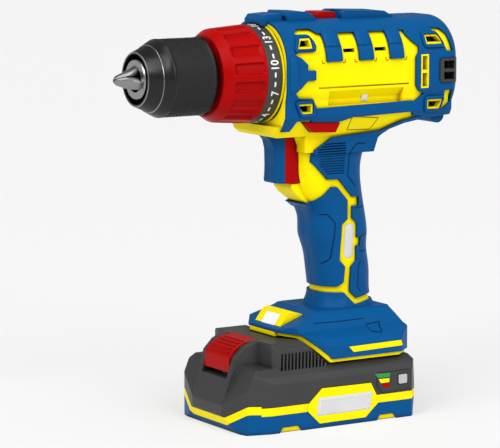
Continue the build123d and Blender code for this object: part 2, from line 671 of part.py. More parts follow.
FORK_GROOVE = (-5.6, -3.0)
with BuildPart() as speed_ring:
    add(ring_gear(STAGE_TWO_X, GEAR_WIDTH, RING_OUTER_R))
    add(tube(FORK_GROOVE[0], FORK_GROOVE[1], 19.3, 22), mode=Mode.SUBTRACT)
speed_ring.part.label = "speed_ring"
export_step(speed_ring.part, "parts/speed_ring.step")

CARRIER_ONE_X = STAGE_ONE_X + GEAR_WIDTH + 0.4
SUN_TWO_LENGTH = STAGE_TWO_X + GEAR_WIDTH - CARRIER_ONE_X
with BuildPart() as input_carrier:
    add(rod(CARRIER_ONE_X, CARRIER_ONE_X + 2.2, 13.4))
    add(planet_pins(STAGE_ONE_X, CARRIER_ONE_X + 1, PLANET_PIN_R))
    add(spur(SUN_TEETH, CARRIER_ONE_X + 2.0, SUN_TWO_LENGTH - 2.0, 0))
input_carrier.part.label = "input_carrier"
export_step(input_carrier.part, "parts/input_carrier.step")

OUTPUT_PLATE_X = STAGE_TWO_X + GEAR_WIDTH + 0.4
with BuildPart() as spindle:
    add(turned([(OUTPUT_PLATE_X, 0), (OUTPUT_PLATE_X, 14.0), (OUTPUT_PLATE_X + 3, 14.0),
                (OUTPUT_PLATE_X + 3, SPINDLE_R), (61.5, SPINDLE_R), (61.5, SPINDLE_R - 1), (67.6, SPINDLE_R - 1),
                (67.6, 2.0), (51.6, 2.0), (51.6, 0)]))
    add(planet_pins(STAGE_TWO_X, OUTPUT_PLATE_X + 1, PLANET_PIN_R))
spindle.part.label = "spindle"
export_step(spindle.part, "parts/spindle.step")

# ---------------------------------------------------------------- motor
print("making the motor")
CAN_FRONT_X = -31.6
CAN_REAR_X = -78.0
with BuildPart() as motor_shaft:
    add(rod(-84.5, STAGE_ONE_X - 0.5, 1.6))
    add(spur(SUN_TEETH, STAGE_ONE_X - 0.5, GEAR_WIDTH + 0.4, 0))
motor_shaft.part.label = "motor_shaft"
export_step(motor_shaft.part, "parts/motor_shaft.step")

with BuildPart() as armature:
    with BuildSketch(spindle_plane(-70)):
        Circle(14.0)
        with PolarLocations(11.4, 12):
            SlotOverall(4.6, 2.2, mode=Mode.SUBTRACT)
        Circle(1.6, mode=Mode.SUBTRACT)
    extrude(amount=26)
    add(tube(-77, -71, 1.6, 4.8))
armature.part.label = "armature"
export_step(armature.part, "parts/armature.step")

with BuildPart() as fan:
    add(tube(-43.6, -42.4, 1.6, 14.0))
    with BuildSketch(spindle_plane(-42.4)):
        with PolarLocations(10.4, 11):
            Rectangle(7.0, 0.9, rotation=24)
    extrude(amount=5)
fan.part.label = "fan"
export_step(fan.part, "parts/fan.step")

with BuildPart() as motor_can:
    add(turned([(CAN_REAR_X, 16.8), (CAN_REAR_X, CAN_R), (CAN_FRONT_X, CAN_R), (CAN_FRONT_X, 1.6 + FIT),
                (CAN_FRONT_X - 1.4, 1.6 + FIT), (CAN_FRONT_X - 1.4, 16.8)]))
    for start_angle in (50, 230):
        with BuildSketch(spindle_plane(-70)):
            with BuildLine():
                CenterArc((0, 0), 16.8, start_angle, 80)
                CenterArc((0, 0), 14.6, start_angle, 80)
                Line(PolarLine((0, 0), 14.6, start_angle, mode=Mode.PRIVATE) @ 1,
                     PolarLine((0, 0), 16.8, start_angle, mode=Mode.PRIVATE) @ 1)
                Line(PolarLine((0, 0), 14.6, start_angle + 80, mode=Mode.PRIVATE) @ 1,
                     PolarLine((0, 0), 16.8, start_angle + 80, mode=Mode.PRIVATE) @ 1)
            make_face()
        extrude(amount=28)
    with BuildSketch(spindle_plane(-38)):
        with PolarLocations(17.5, 8):
            Rectangle(4, 7)
    extrude(amount=3.5, mode=Mode.SUBTRACT)
motor_can.part.label = "motor_can"
export_step(motor_can.part, "parts/motor_can.step")

BRUSH_X = -75.6
BRUSH_HALF = 1.6
with BuildPart() as motor_end_cap:
    add(turned([(-82, 1.6 + FIT), (-82, 7), (-80, CAN_R), (CAN_REAR_X, CAN_R), (CAN_REAR_X, 16.8), (-74, 16.8),
                (-74, 13.5), (-79.0, 13.5), (-79.0, 1.6 + FIT)]))
    for side in (-1, 1):
        low_y, high_y = sorted((side * 6.5, side * 14))
        add(bar((-79.5, low_y, SPINDLE_Z - 2.8), (-73.4, high_y, SPINDLE_Z + 2.8)))
        low_y, high_y = sorted((side * 4, side * 12.5))
        add(bar((BRUSH_X - BRUSH_HALF, low_y, SPINDLE_Z - BRUSH_HALF),
                (BRUSH_X + BRUSH_HALF, high_y, SPINDLE_Z + BRUSH_HALF)), mode=Mode.SUBTRACT)
motor_end_cap.part.label = "motor_end_cap"
export_step(motor_end_cap.part, "parts/motor_end_cap.step")

with BuildPart() as carbon_brushes:
    for side in (-1, 1):
        low_y, high_y = sorted((side * 5.1, side * 12.5))
        add(bar((BRUSH_X - BRUSH_HALF, low_y, SPINDLE_Z - BRUSH_HALF),
                (BRUSH_X + BRUSH_HALF, high_y, SPINDLE_Z + BRUSH_HALF)))
carbon_brushes.part.label = "carbon_brushes"
export_step(carbon_brushes.part, "parts/carbon_brushes.step")

# ---------------------------------------------------------------- gear case and clutch
print("making the gear case")
BEARINGS = [(9.0, 14.0), (41.0, 47.0)]
BEARING_R = 11.0
with BuildPart() as gear_case:
    add(turned([(-31.4, 4.2), (-31.4, CASE_R), (18.0, CASE_R), (18.0, FLANGE_R), (25.2, FLANGE_R), (25.2, NOSE_TUBE_R),
                (47.6, NOSE_TUBE_R), (47.6, 9.6), (47.0, 9.6), (47.0, BEARING_R), (41.0, BEARING_R), (41.0, 8.5),
                (14.0, 8.5), (14.0, BEARING_R), (9.0, BEARING_R), (9.0, 15.0), (0.4, 15.0),
                (0.4, RING_OUTER_R + FIT), (STAGE_TWO_X - SELECTOR_TRAVEL - 0.2, RING_OUTER_R + FIT),
                (STAGE_TWO_X - SELECTOR_TRAVEL - 0.2, 18.4), (STAGE_ONE_X + GEAR_WIDTH, 18.4),
                (STAGE_ONE_X + GEAR_WIDTH, RING_OUTER_R), (STAGE_ONE_X - 0.6, RING_OUTER_R),
                (STAGE_ONE_X - 0.6, 4.2)]))
    add(bar((FORK_GROOVE[0] - SELECTOR_TRAVEL - 0.2, -2, SPINDLE_Z + 15),
            (FORK_GROOVE[1] + 0.2, 2, SPINDLE_Z + 30)), mode=Mode.SUBTRACT)
    with BuildSketch(spindle_plane(10)):
        with PolarLocations(20.0, 6, start_angle=30):
            Circle(1.6)
    extrude(amount=20, mode=Mode.SUBTRACT)
gear_case.part.label = "gear_case"
export_step(gear_case.part, "parts/gear_case.step")

with BuildPart() as clutch_pins:
    with BuildSketch(spindle_plane(10.6)):
        with PolarLocations(20.0, 6, start_angle=30):
            Circle(1.5)
    extrude(amount=16.6)
clutch_pins.part.label = "clutch_pins"
export_step(clutch_pins.part, "parts/clutch_pins.step")

with BuildPart() as spindle_bearings:
    for rear_x, front_x in BEARINGS:
        add(tube(rear_x, front_x, SPINDLE_R + FIT, BEARING_R))
spindle_bearings.part.label = "spindle_bearings"
export_step(spindle_bearings.part, "parts/spindle_bearings.step")

SPRING_REAR_X = 29.0
NUT_X = (42.6, 47.4)
SPRING_TURNS = 4
with BuildPart() as clutch_spring:
    with BuildLine() as coil_line:
        Helix(pitch=(NUT_X[0] - SPRING_REAR_X - 2.6) / SPRING_TURNS, height=NUT_X[0] - SPRING_REAR_X - 2.6,
              radius=19.0, center=(SPRING_REAR_X + 1.3, 0, SPINDLE_Z), direction=(1, 0, 0))
    with BuildSketch(Plane(origin=coil_line.line @ 0, z_dir=coil_line.line % 0)):
        Circle(1.2)
    sweep(path=coil_line.line, is_frenet=True)
clutch_spring.part.label = "clutch_spring"
export_step(clutch_spring.part, "parts/clutch_spring.step")

with BuildPart() as clutch_nut:
    add(tube(NUT_X[0], NUT_X[1], NOSE_TUBE_R + FIT, 22.4))
clutch_nut.part.label = "clutch_nut"
export_step(clutch_nut.part, "parts/clutch_nut.step")

RECESS_MID_X = 46.6
RECESS_LENGTH = 17.6
RECESS_WIDTH = 5.4
RECESS_DEPTH = 1.1
RECESS_DRAFT = 18          # degrees
SHOULDER_X = 55.4
FACE_DEPTH = 2.2
with BuildPart() as recess:
    with BuildSketch(Plane(origin=(RECESS_MID_X, 0, SPINDLE_Z + COLLAR_R - RECESS_DEPTH))):
        SlotOverall(RECESS_LENGTH, RECESS_WIDTH)
    extrude(amount=4, taper=-RECESS_DRAFT)
with BuildPart() as torque_collar:
    add(turned([(COLLAR_REAR_X, COLLAR_INNER_R), (COLLAR_REAR_X, COLLAR_R), (SHOULDER_X, COLLAR_R - 0.9),
                (COLLAR_FRONT_X, 22.8), (COLLAR_FRONT_X - FACE_DEPTH, 21.6), (COLLAR_FRONT_X - FACE_DEPTH, 9.0),
                (COLLAR_FRONT_X - 4.2, 9.0), (COLLAR_FRONT_X - 4.2, COLLAR_INNER_R)]))
    for number in range(COLLAR_RECESSES):
        add(recess.part.rotate(SPINDLE_AXIS, number * 360 / COLLAR_RECESSES), mode=Mode.SUBTRACT)
torque_collar.part.label = "torque_collar"
export_step(torque_collar.part, "parts/torque_collar.step")

with BuildPart() as scale_ring:
    add(tube(SCALE_REAR_X, COLLAR_REAR_X, 25.8, SCALE_R))
    add(tube(COLLAR_REAR_X - 1.6, COLLAR_REAR_X, COLLAR_INNER_R, SCALE_R))
scale_ring.part.label = "scale_ring"
export_step(scale_ring.part, "parts/scale_ring.step")


# ---------------------------------------------------------------- controls
print("making the controls")
with BuildPart() as speed_selector:
    extrude(outline(Plane.XZ, [(SELECTOR_FRONT_X, 218.0), (SELECTOR_FRONT_X, 224.4), (-11.0, 226.2),
                               (-20.4, 226.0), (SELECTOR_REAR_X, 224.4), (SELECTOR_REAR_X, 218.0)]),
            amount=SELECTOR_HALF, both=True)
    chamfer(speed_selector.edges().filter_by(Axis.X).group_by(Axis.Z)[-1], 1.2)
speed_selector.part.label = "speed_selector"
export_step(speed_selector.part, "parts/speed_selector.step")

with BuildPart() as shift_fork:
    add(bar((-20, -5, 217.0), (FORK_GROOVE[1] - 0.2, 5, 218.0)))
    add(bar((FORK_GROOVE[0] + 0.2, -1.6, SPINDLE_Z + 20.0), (FORK_GROOVE[1] - 0.2, 1.6, 217.0)))
shift_fork.part.label = "shift_fork"
export_step(shift_fork.part, "parts/shift_fork.step")

TRIGGER_SPLIT_X = 12.8
TRIGGER_TOP_Z = 159.0
TRIGGER_LOW_Z = 132.6
STEM_Z = 149.0
with BuildPart() as trigger_blade:
    extrude(outline(Plane.XZ, [(TRIGGER_SPLIT_X, TRIGGER_TOP_Z), (21.6, TRIGGER_TOP_Z), (18.8, 156.4),
                               (17.2, 151.6), (16.6, 142.0), (17.4, 133.6), (16.6, TRIGGER_LOW_Z),
                               (TRIGGER_SPLIT_X, TRIGGER_LOW_Z)]), amount=9.9, both=True)
    extrude(outline(Plane.XY.offset(120), [(22.0, 3.6), (17.0, 5.2), (TRIGGER_SPLIT_X, 9.9), (0, 9.9),
                                           (0, -9.9), (TRIGGER_SPLIT_X, -9.9), (17.0, -5.2), (22.0, -3.6)]),
            amount=50, mode=Mode.INTERSECT)
trigger_blade.part.label = "trigger_blade"
export_step(trigger_blade.part, "parts/trigger_blade.step")

with BuildPart() as trigger_shoe:
    extrude(outline(Plane.XZ, [(TRIGGER_SPLIT_X, TRIGGER_TOP_Z), (1.0, TRIGGER_TOP_Z), (-1.0, 150.0),
                               (-1.0, 142.0), (1.0, TRIGGER_LOW_Z), (TRIGGER_SPLIT_X, TRIGGER_LOW_Z)]),
            amount=9.9, both=True)
    with BuildSketch(Plane.YZ.offset(-18)):
        with Locations((0, STEM_Z)):
            Circle(2.0)
    extrude(amount=18)
trigger_shoe.part.label = "trigger_shoe"
export_step(trigger_shoe.part, "parts/trigger_shoe.step")

with BuildPart() as switch_module:
    add(bar((-33.0, -8, 135), (-14.0, 8, 158)))
    with BuildSketch(Plane.YZ.offset(-27)):
        with Locations((0, STEM_Z)):
            Circle(2.0 + FIT)
    extrude(amount=20, mode=Mode.SUBTRACT)
switch_module.part.label = "switch_module"
export_step(switch_module.part, "parts/switch_module.step")

with BuildPart() as trigger_spring:
    with BuildLine() as trigger_coil:
        Helix(pitch=2.6, height=11.6, radius=3.4, center=(-13.2, 0, STEM_Z), direction=(1, 0, 0))
    with BuildSketch(Plane(origin=trigger_coil.line @ 0, z_dir=trigger_coil.line % 0)):
        Circle(0.5)
    sweep(path=trigger_coil.line, is_frenet=True)
trigger_spring.part.label = "trigger_spring"
export_step(trigger_spring.part, "parts/trigger_spring.step")

LEVER_HALF = 26.2
with BuildPart() as direction_lever:
    extrude(outline(Plane.XZ, LEVER_SIDE), amount=LEVER_HALF, both=True)
    add(bar((-40, -15, 150), (-7.5, 15, 175)), mode=Mode.SUBTRACT)
    add(bar((2.0, -15, 150), (40, 15, 175)), mode=Mode.SUBTRACT)
direction_lever.part.label = "direction_lever"
export_step(direction_lever.part, "parts/direction_lever.step")

LENS_SIDE = [(18.2, 53.8), (13.9, 59.5), (11.0, 57.4), (15.2, 51.8)]
LENS_HALF = 6.6
with BuildPart() as led_housing:
    extrude(outline(Plane.XZ, LED_SIDE), amount=LED_HALF, both=True)
    extrude(outline(Plane.XZ, LENS_SIDE), amount=LENS_HALF, both=True, mode=Mode.SUBTRACT)
led_housing.part.label = "led_housing"
export_step(led_housing.part, "parts/led_housing.step")

with BuildPart() as led_lens:
    extrude(outline(Plane.XZ, LENS_SIDE), amount=LENS_HALF, both=True)
led_lens.part.label = "led_lens"
export_step(led_lens.part, "parts/led_lens.step")

CLIP_PATH = [(-20.0, 52.0), (-20.0, 55.0), (-25.6, 59.0), (-31.6, 59.4), (-36.0, 55.8), (-37.4, 49.8),
             (-37.4, 48.2), (-35.8, 48.2), (-35.6, 49.8), (-34.4, 54.6), (-31.0, 57.6), (-26.4, 57.2), (-22.0, 53.6)]
with BuildPart() as belt_clip:
    extrude(outline(Plane.YZ.offset(-25), CLIP_PATH), amount=14)
    add(skin_form, mode=Mode.SUBTRACT)
belt_clip.part.label = "belt_clip"
export_step(belt_clip.part, "parts/belt_clip.step")

with BuildPart() as terminal_block:
    add(bar((-46, -14, 45.6), (-28, 14, 51.0)))
    for y in (-9, 0, 9):
        add(bar((-44, y - 0.4, 38.4), (-26, y + 0.4, 47.0)))
terminal_block.part.label = "terminal_block"
export_step(terminal_block.part, "parts/terminal_block.step")


# ---------------------------------------------------------------- battery
print("making the battery")
PACK_PLAN = [(57.5, 15), (52.0, 33.6), (38, 37.2), (-54, 37.2), (-60, 31),
             (-60, -31), (-54, -37.2), (38, -37.2), (52.0, -33.6), (57.5, -15)]
PACK_SIDE = [(53.5, 0), (57.5, 9), (57.2, 14.5), (48.5, 31.5), (45.5, PACK_TOP_Z), (-54.5, PACK_TOP_Z),
             (-57.5, 31), (-60, 17), (-60, 12), (-56.5, 0)]
PACK_FRONT = both_sides([(37.2, 0), (37.2, 27), (35.6, 31), (32.0, PACK_TOP_Z)])
RAISED_SIDE = [(57.3, 12), (57.3, 14), (52.0, 31), (49.4, 40), (43.5, 45.5), (36, 48.2), (14.6, 48.2),
               (0.8, 35.2), (0.8, 12)]
RAISED_FRONT = both_sides([(34.4, 12), (34.2, 34), (32.4, 45), (29, 48.2)])
RAISED_PLAN = [(0.8, 34.4), (30, 34.4), (34.0, 30), (35.5, 18.2), (55.5, 16.4), (57.5, 13),
               (57.5, -13), (55.5, -16.4), (35.5, -18.2), (34.0, -30), (30, -34.4), (0.8, -34.4)]
SEAM_FRONT = [(-40, -5), (-40, PACK_SEAM_Z), (-34, 11.4), (-18, 3.4), (18, 3.4), (34, 11.4),
              (40, PACK_SEAM_Z), (40, -5)]
SEAM_SPLIT_X = 44.0
PANEL_SIDE = [(15.2, 13.8), (6, 22.1), (-26.3, 21.8), (-32.2, 11), (-22.8, 2.8), (7.4, 2.6), (15.2, 10.1)]
PANEL_Y = (35.0, 37.5)
GAUGE_SIDE = [(-30.3, 26.8), (-52.6, 26.8), (-53.2, 16.4), (-34.4, 15.2), (-30.6, 19.6)]
GAUGE_BUTTON = ((-50.4, 19.4), (-44.8, 24.6))
LATCH_SIDE = [(51.2, 31.4), (50.6, 39.4), (47.2, 43.8), (41.2, 47.0), (33.0, 48.4), (33.0, 38), (41, 31.4)]
LATCH_HALF = 13.0
GRILLE_FRONT_X = 29.4
GRILLE_LOW_Z = 33.6
GRILLE_TOP_Z = 42.6
GRILLE_PITCH = 2.25
GRILLE_COUNT = 13
LATCH_TRAVEL = 3.0
NOTCHES = [(33.8, 18.2), (-30.0, -44.4)]


def pack_form(grow):
    """Outer form of the battery without its raised front block."""
    with BuildPart() as pack:
        extrude(outline(Plane.XY.offset(-5), PACK_PLAN, grow), amount=60)
        extrude(outline(Plane.XZ, PACK_SIDE, grow), amount=60, both=True, mode=Mode.INTERSECT)
        extrude(outline(Plane.YZ.offset(-80), PACK_FRONT, grow), amount=160, mode=Mode.INTERSECT)
    return pack.part


def raised_form(grow):
    """Raised block in front of the tool's foot, which carries the latch."""
    with BuildPart() as block:
        extrude(outline(Plane.XZ, RAISED_SIDE, grow), amount=60, both=True)
        extrude(outline(Plane.YZ.offset(-80), RAISED_FRONT, grow), amount=160, mode=Mode.INTERSECT)
        extrude(outline(Plane.XY, RAISED_PLAN, grow), amount=80, mode=Mode.INTERSECT)
    return block.part


def below_seam(rise):
    """Everything below the tray's rim, lifted by rise."""
    with BuildPart() as lower:
        add(bar((-80, -60, -5), (SEAM_SPLIT_X, 60, PACK_SEAM_Z + rise)))
        lifted = [(y, z + rise if z > 0 else z) for y, z in SEAM_FRONT]
        extrude(outline(Plane.YZ.offset(SEAM_SPLIT_X), lifted), amount=40)
    return lower.part


def both_panels(points, inner_y, outer_y):
    """Side-view outline as a pair of plates, one on each side of the battery."""
    with BuildPart() as plates:
        add(side_prism(points, inner_y, outer_y))
        mirror(about=Plane.XZ)
    return plates.part


pack_outer = pack_form(0)
pack_inner = pack_form(-PACK_WALL)
tray_zone = below_seam(0)
band_zone = below_seam(BAND_HEIGHT)
panels = both_panels(PANEL_SIDE, *PANEL_Y)

with BuildPart() as battery_tray:
    add(pack_outer)
    add(tray_zone, mode=Mode.INTERSECT)
    add(pack_inner, mode=Mode.SUBTRACT)
    add(panels, mode=Mode.SUBTRACT)
    for front, rear in NOTCHES:
        notch = [(front, -1), (front - 2.6, 3.0), (rear + 2.6, 3.0), (rear, -1)]
        add(both_panels(notch, 35.4, 60), mode=Mode.SUBTRACT)
battery_tray.part.label = "battery_tray"
export_step(battery_tray.part, "parts/battery_tray.step")

with BuildPart() as battery_band:
    add(pack_outer)
    add(band_zone, mode=Mode.INTERSECT)
    add(tray_zone, mode=Mode.SUBTRACT)
    add(pack_inner, mode=Mode.SUBTRACT)
    add(panels)
battery_band.part.label = "battery_band"
export_step(battery_band.part, "parts/battery_band.step")

rail = bar((-50, -RAIL_HALF, PACK_TOP_Z - 2.4), (3, RAIL_HALF, RAIL_TOP_Z))
with BuildPart() as pack_limit:
    add(pack_outer)
    add(raised_form(0))
    add(rail)
with BuildPart() as battery_shell:
    add(pack_outer)
    add(raised_form(0))
    add(pack_inner, mode=Mode.SUBTRACT)
    add(raised_form(-PACK_WALL), mode=Mode.SUBTRACT)
    add(bar((30.4, -15.4, 26.0), (56, 15.4, 50)))
    add(rail)
    add(pack_limit.part, mode=Mode.INTERSECT)
    add(band_zone, mode=Mode.SUBTRACT)
    add(panels, mode=Mode.SUBTRACT)
    add(bar((32.6, -LATCH_HALF - GAP, 31.2 - LATCH_TRAVEL), (60, LATCH_HALF + GAP, 60)), mode=Mode.SUBTRACT)
    for y in (-9, 0, 9):
        add(bar((-52, y - 1.0, 37.6), (-24, y + 1.0, 50)), mode=Mode.SUBTRACT)
    for side in (-1, 1):
        low_y, high_y = sorted((side * 19.0, side * (RAIL_HALF + 1)))
        add(bar((-51, low_y, PACK_TOP_Z), (0.7, high_y, 39.6)), mode=Mode.SUBTRACT)
    add(both_panels(GAUGE_SIDE, 36.2, 40), mode=Mode.SUBTRACT)
    (low_x, low_z), (high_x, high_z) = GAUGE_BUTTON
    add(bar((low_x - GAP, 34, low_z - GAP), (high_x + GAP, 40, high_z + GAP)), mode=Mode.SUBTRACT)
    for step in range(GRILLE_COUNT):
        x = GRILLE_FRONT_X - GRILLE_PITCH * step
        front_top, rear_top = [min(GRILLE_TOP_Z, GRILLE_LOW_Z + (x + reach) * 0.9) for reach in (4, 3)]
        add(both_panels([(x, GRILLE_LOW_Z), (x + 1.2, GRILLE_LOW_Z), (x + 0.2, front_top), (x - 1.0, rear_top)],
                        32.0, 40), mode=Mode.SUBTRACT)
battery_shell.part.label = "battery_shell"
export_step(battery_shell.part, "parts/battery_shell.step")

with BuildPart() as gauge_panel:
    add(side_prism(GAUGE_SIDE, 36.2, 37.5))
    add(bar((low_x - GAP, 30, low_z - GAP), (high_x + GAP, 40, high_z + GAP)), mode=Mode.SUBTRACT)
gauge_panel.part.label = "gauge_panel"
export_step(gauge_panel.part, "parts/gauge_panel.step")

with BuildPart() as gauge_button:
    add(bar((low_x, 34.8, low_z), (high_x, 37.9, high_z)))
    fillet(gauge_button.edges().filter_by(Axis.Y), 0.8)
gauge_button.part.label = "gauge_button"
export_step(gauge_button.part, "parts/gauge_button.step")

with BuildPart() as latch_button:
    extrude(outline(Plane.XZ, LATCH_SIDE), amount=LATCH_HALF, both=True)
latch_button.part.label = "latch_button"
export_step(latch_button.part, "parts/latch_button.step")

with BuildPart() as latch_spring:
    with BuildLine() as latch_coil:
        Helix(pitch=0.9, height=2.4, radius=3.0, center=(44, 0, 31.2 - LATCH_TRAVEL + 0.4))
    with BuildSketch(Plane(origin=latch_coil.line @ 0, z_dir=latch_coil.line % 0)):
        Circle(0.3)
    sweep(path=latch_coil.line, is_frenet=True)
latch_spring.part.label = "latch_spring"
export_step(latch_spring.part, "parts/latch_spring.step")

with BuildPart() as battery_cells:
    with BuildSketch(Plane.XZ.offset(-CELL_LENGTH / 2)):
        with GridLocations(CELL_PITCH, 1, CELL_COUNT, 1):
            with Locations((0, PACK_WALL + CELL_R + 0.2)):
                Circle(CELL_R)
    extrude(amount=CELL_LENGTH)
battery_cells.part.label = "battery_cells"
export_step(battery_cells.part, "parts/battery_cells.step")

with BuildPart() as battery_board:
    add(bar((-48, -24, 22.4), (22, 24, 24.0)))
battery_board.part.label = "battery_board"
export_step(battery_board.part, "parts/battery_board.step")
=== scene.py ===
import json
import math

import bmesh
import bpy
from mathutils import Matrix, Vector
from mathutils.bvhtree import BVHTree


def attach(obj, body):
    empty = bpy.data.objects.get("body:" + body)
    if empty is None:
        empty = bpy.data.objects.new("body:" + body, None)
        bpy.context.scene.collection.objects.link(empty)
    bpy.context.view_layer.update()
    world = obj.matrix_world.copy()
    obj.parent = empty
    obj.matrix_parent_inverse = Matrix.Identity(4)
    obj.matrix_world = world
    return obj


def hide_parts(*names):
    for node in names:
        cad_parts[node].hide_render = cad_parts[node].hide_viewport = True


MM = 0.001
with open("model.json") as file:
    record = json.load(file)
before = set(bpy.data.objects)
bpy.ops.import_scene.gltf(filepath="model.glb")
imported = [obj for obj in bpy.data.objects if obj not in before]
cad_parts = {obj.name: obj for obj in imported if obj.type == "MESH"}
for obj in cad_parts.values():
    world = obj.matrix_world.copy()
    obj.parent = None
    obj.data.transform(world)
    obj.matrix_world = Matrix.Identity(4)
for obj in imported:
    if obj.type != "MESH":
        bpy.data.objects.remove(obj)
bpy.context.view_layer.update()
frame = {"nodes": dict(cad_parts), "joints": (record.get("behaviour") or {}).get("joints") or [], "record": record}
nodes = frame["nodes"]
joints = {joint["name"]: joint for joint in frame["joints"]}
SPINDLE_Z = joints["spindle_spin"]["pos_m"][2]

# ---------------------------------------------------------------- camera, floor and light
CAMERA_AZIMUTH = 31.65     # degrees, turned from +Y towards +X
CAMERA_PITCH = 8.1         # degrees above the horizon
CAMERA_PLACE = (0.82483, 1.29044, 0.32613)
SENSOR_WIDTH = 36.0        # millimetres, as is the lens
LENS = 200.16
VIEW_DEPTH = 20.0

FLOOR_HALF = 40.0
FLOOR_GREY = 0.35
FLOOR_GLOW = 0.52

WORLD_STRENGTH = 0.32
SUNS = [("top", 20, 78, 50, 1.1), ("front", 70, 38, 40, 1.3), ("side", -10, 30, 40, 1.2)]
LIGHT_TARGET = (0.0, 0.0, 0.12)
AREA_LIGHTS = [("key", (0.75, 0.45, 0.85), (0.2, 0.5), 1.6), ("strip", (0.2, 0.9, 0.75), (0.12, 0.6), 1.2)]


def show(item):
    """Puts an object in the scene."""
    bpy.context.scene.collection.objects.link(item)
    return item


def toward(azimuth, elevation):
    """Unit vector at an azimuth, turned from +Y towards +X, and an elevation, both in degrees."""
    turn, rise = math.radians(azimuth), math.radians(elevation)
    return Vector((math.sin(turn) * math.cos(rise), math.cos(turn) * math.cos(rise), math.sin(rise)))


def add_camera():
    """The photograph's view: a long lens, slightly from above, on the tool's front left."""
    turn = math.radians(CAMERA_AZIMUTH)
    back = toward(CAMERA_AZIMUTH, CAMERA_PITCH)
    right = Vector((-math.cos(turn), math.sin(turn), 0.0))
    up = back.cross(right)
    data = bpy.data.cameras.new("camera")
    data.sensor_width = SENSOR_WIDTH
    data.lens = LENS
    data.clip_end = VIEW_DEPTH
    camera = show(bpy.data.objects.new("camera", data))
    facing = Matrix((right, up, back)).transposed().to_4x4()
    camera.matrix_world = Matrix.Translation(Vector(CAMERA_PLACE)) @ facing
    bpy.context.scene.camera = camera


def add_floor():
    """Plain pale sheet that reaches past the top of the picture."""
    half = FLOOR_HALF
    mesh = bpy.data.meshes.new("floor")
    corners = [(-half, -half, 0), (half, -half, 0), (half, half, 0), (-half, half, 0)]
    mesh.from_pydata(corners, [], [(0, 1, 2, 3)])
    floor = show(bpy.data.objects.new("floor", mesh))
    material, _, shader = new_material("floor")
    shader.inputs["Base Color"].default_value = (FLOOR_GREY, FLOOR_GREY, FLOOR_GREY, 1)
    shader.inputs["Roughness"].default_value = 0.9
    shader.inputs["Specular IOR Level"].default_value = 0.0
    shader.inputs["Emission Color"].default_value = (1.0, 1.0, 1.0, 1)
    shader.inputs["Emission Strength"].default_value = FLOOR_GLOW
    mesh.materials.append(material)


def add_light(name, place, size, power):
    """Soft rectangular light that faces the tool."""
    data = bpy.data.lights.new(name, "AREA")
    data.shape = "RECTANGLE"
    data.size, data.size_y = size
    data.energy = power
    light = show(bpy.data.objects.new(name, data))
    light.location = place
    light.rotation_euler = (Vector(LIGHT_TARGET) - Vector(place)).to_track_quat("-Z", "Y").to_euler()


def add_sun(name, azimuth, elevation, spread, strength):
    """Broad even light from one direction; spread is its apparent size, in degrees."""
    data = bpy.data.lights.new(name, "SUN")
    data.angle = math.radians(spread)
    data.energy = strength
    light = show(bpy.data.objects.new(name, data))
    light.rotation_euler = toward(azimuth, elevation).to_track_quat("Z", "Y").to_euler()


def add_lights():
    """White surroundings, three broad lights and two soft rectangular ones."""
    world = bpy.data.worlds.new("studio")
    world.use_nodes = True
    background = world.node_tree.nodes["Background"]
    background.inputs["Color"].default_value = (1.0, 1.0, 1.0, 1)
    background.inputs["Strength"].default_value = WORLD_STRENGTH
    bpy.context.scene.world = world
    for sun in SUNS:
        add_sun(*sun)
    for light in AREA_LIGHTS:
        add_light(*light)
    bpy.context.scene.view_settings.view_transform = "Standard"


# ---------------------------------------------------------------- materials
EDGE_SAMPLES = 6
SHADE_SAMPLES = 8
SHADE_REACH = 3.5          # millimetres within which walls shade each other
SHADE_OPEN = (0.25, 0.9)   # openness of the darkest corner, and of a face that isn't darkened
TONE_SCALE = 60.0          # noise scales in object space, where one unit is a metre
GLOSS_SCALE = 140.0
GRAIN_DEPTH = 0.0002
MARK_SCALE = 90.0
MARK_STRETCH = (1.0, 60.0, 60.0)
MARK_DEPTH = 0.0001
MARK_BUMP = 0.08


def new_material(name):
    material = bpy.data.materials.new(name)
    material.use_nodes = True
    tree = material.node_tree
    return material, tree, tree.nodes["Principled BSDF"]


def add_node(tree, kind, **values):
    node = tree.nodes.new(kind)
    for key, value in values.items():
        if key not in ("data_type", "blend_type") and key in node.inputs:
            node.inputs[key].default_value = value
        else:
            setattr(node, key, value)
    return node


def noise(tree, scale, detail=2.0, stretch=None):
    """Noise in object space; stretch scales each axis to make streaks."""
    coords = add_node(tree, "ShaderNodeTexCoord")
    source = coords.outputs["Object"]
    if stretch:
        mapping = add_node(tree, "ShaderNodeMapping", Scale=stretch)
        tree.links.new(source, mapping.inputs["Vector"])
        source = mapping.outputs["Vector"]
    texture = add_node(tree, "ShaderNodeTexNoise", Scale=scale, Detail=detail)
    tree.links.new(source, texture.inputs["Vector"])
    return texture.outputs["Fac"]


def ramp(tree, source, low, high, from_low=0.3, from_high=0.7):
    """Maps a texture value to a range."""
    node = add_node(tree, "ShaderNodeMapRange")
    node.inputs["From Min"].default_value = from_low
    node.inputs["From Max"].default_value = from_high
    node.inputs["To Min"].default_value = low
    node.inputs["To Max"].default_value = high
    tree.links.new(source, node.inputs["Value"])
    return node.outputs["Result"]


def soft_edges(tree, radius):
    """Rounds the shading of hard edges by a radius in millimetres, as a mould does."""
    node = add_node(tree, "ShaderNodeBevel", Radius=radius * MM)
    node.samples = EDGE_SAMPLES
    return node.outputs["Normal"]


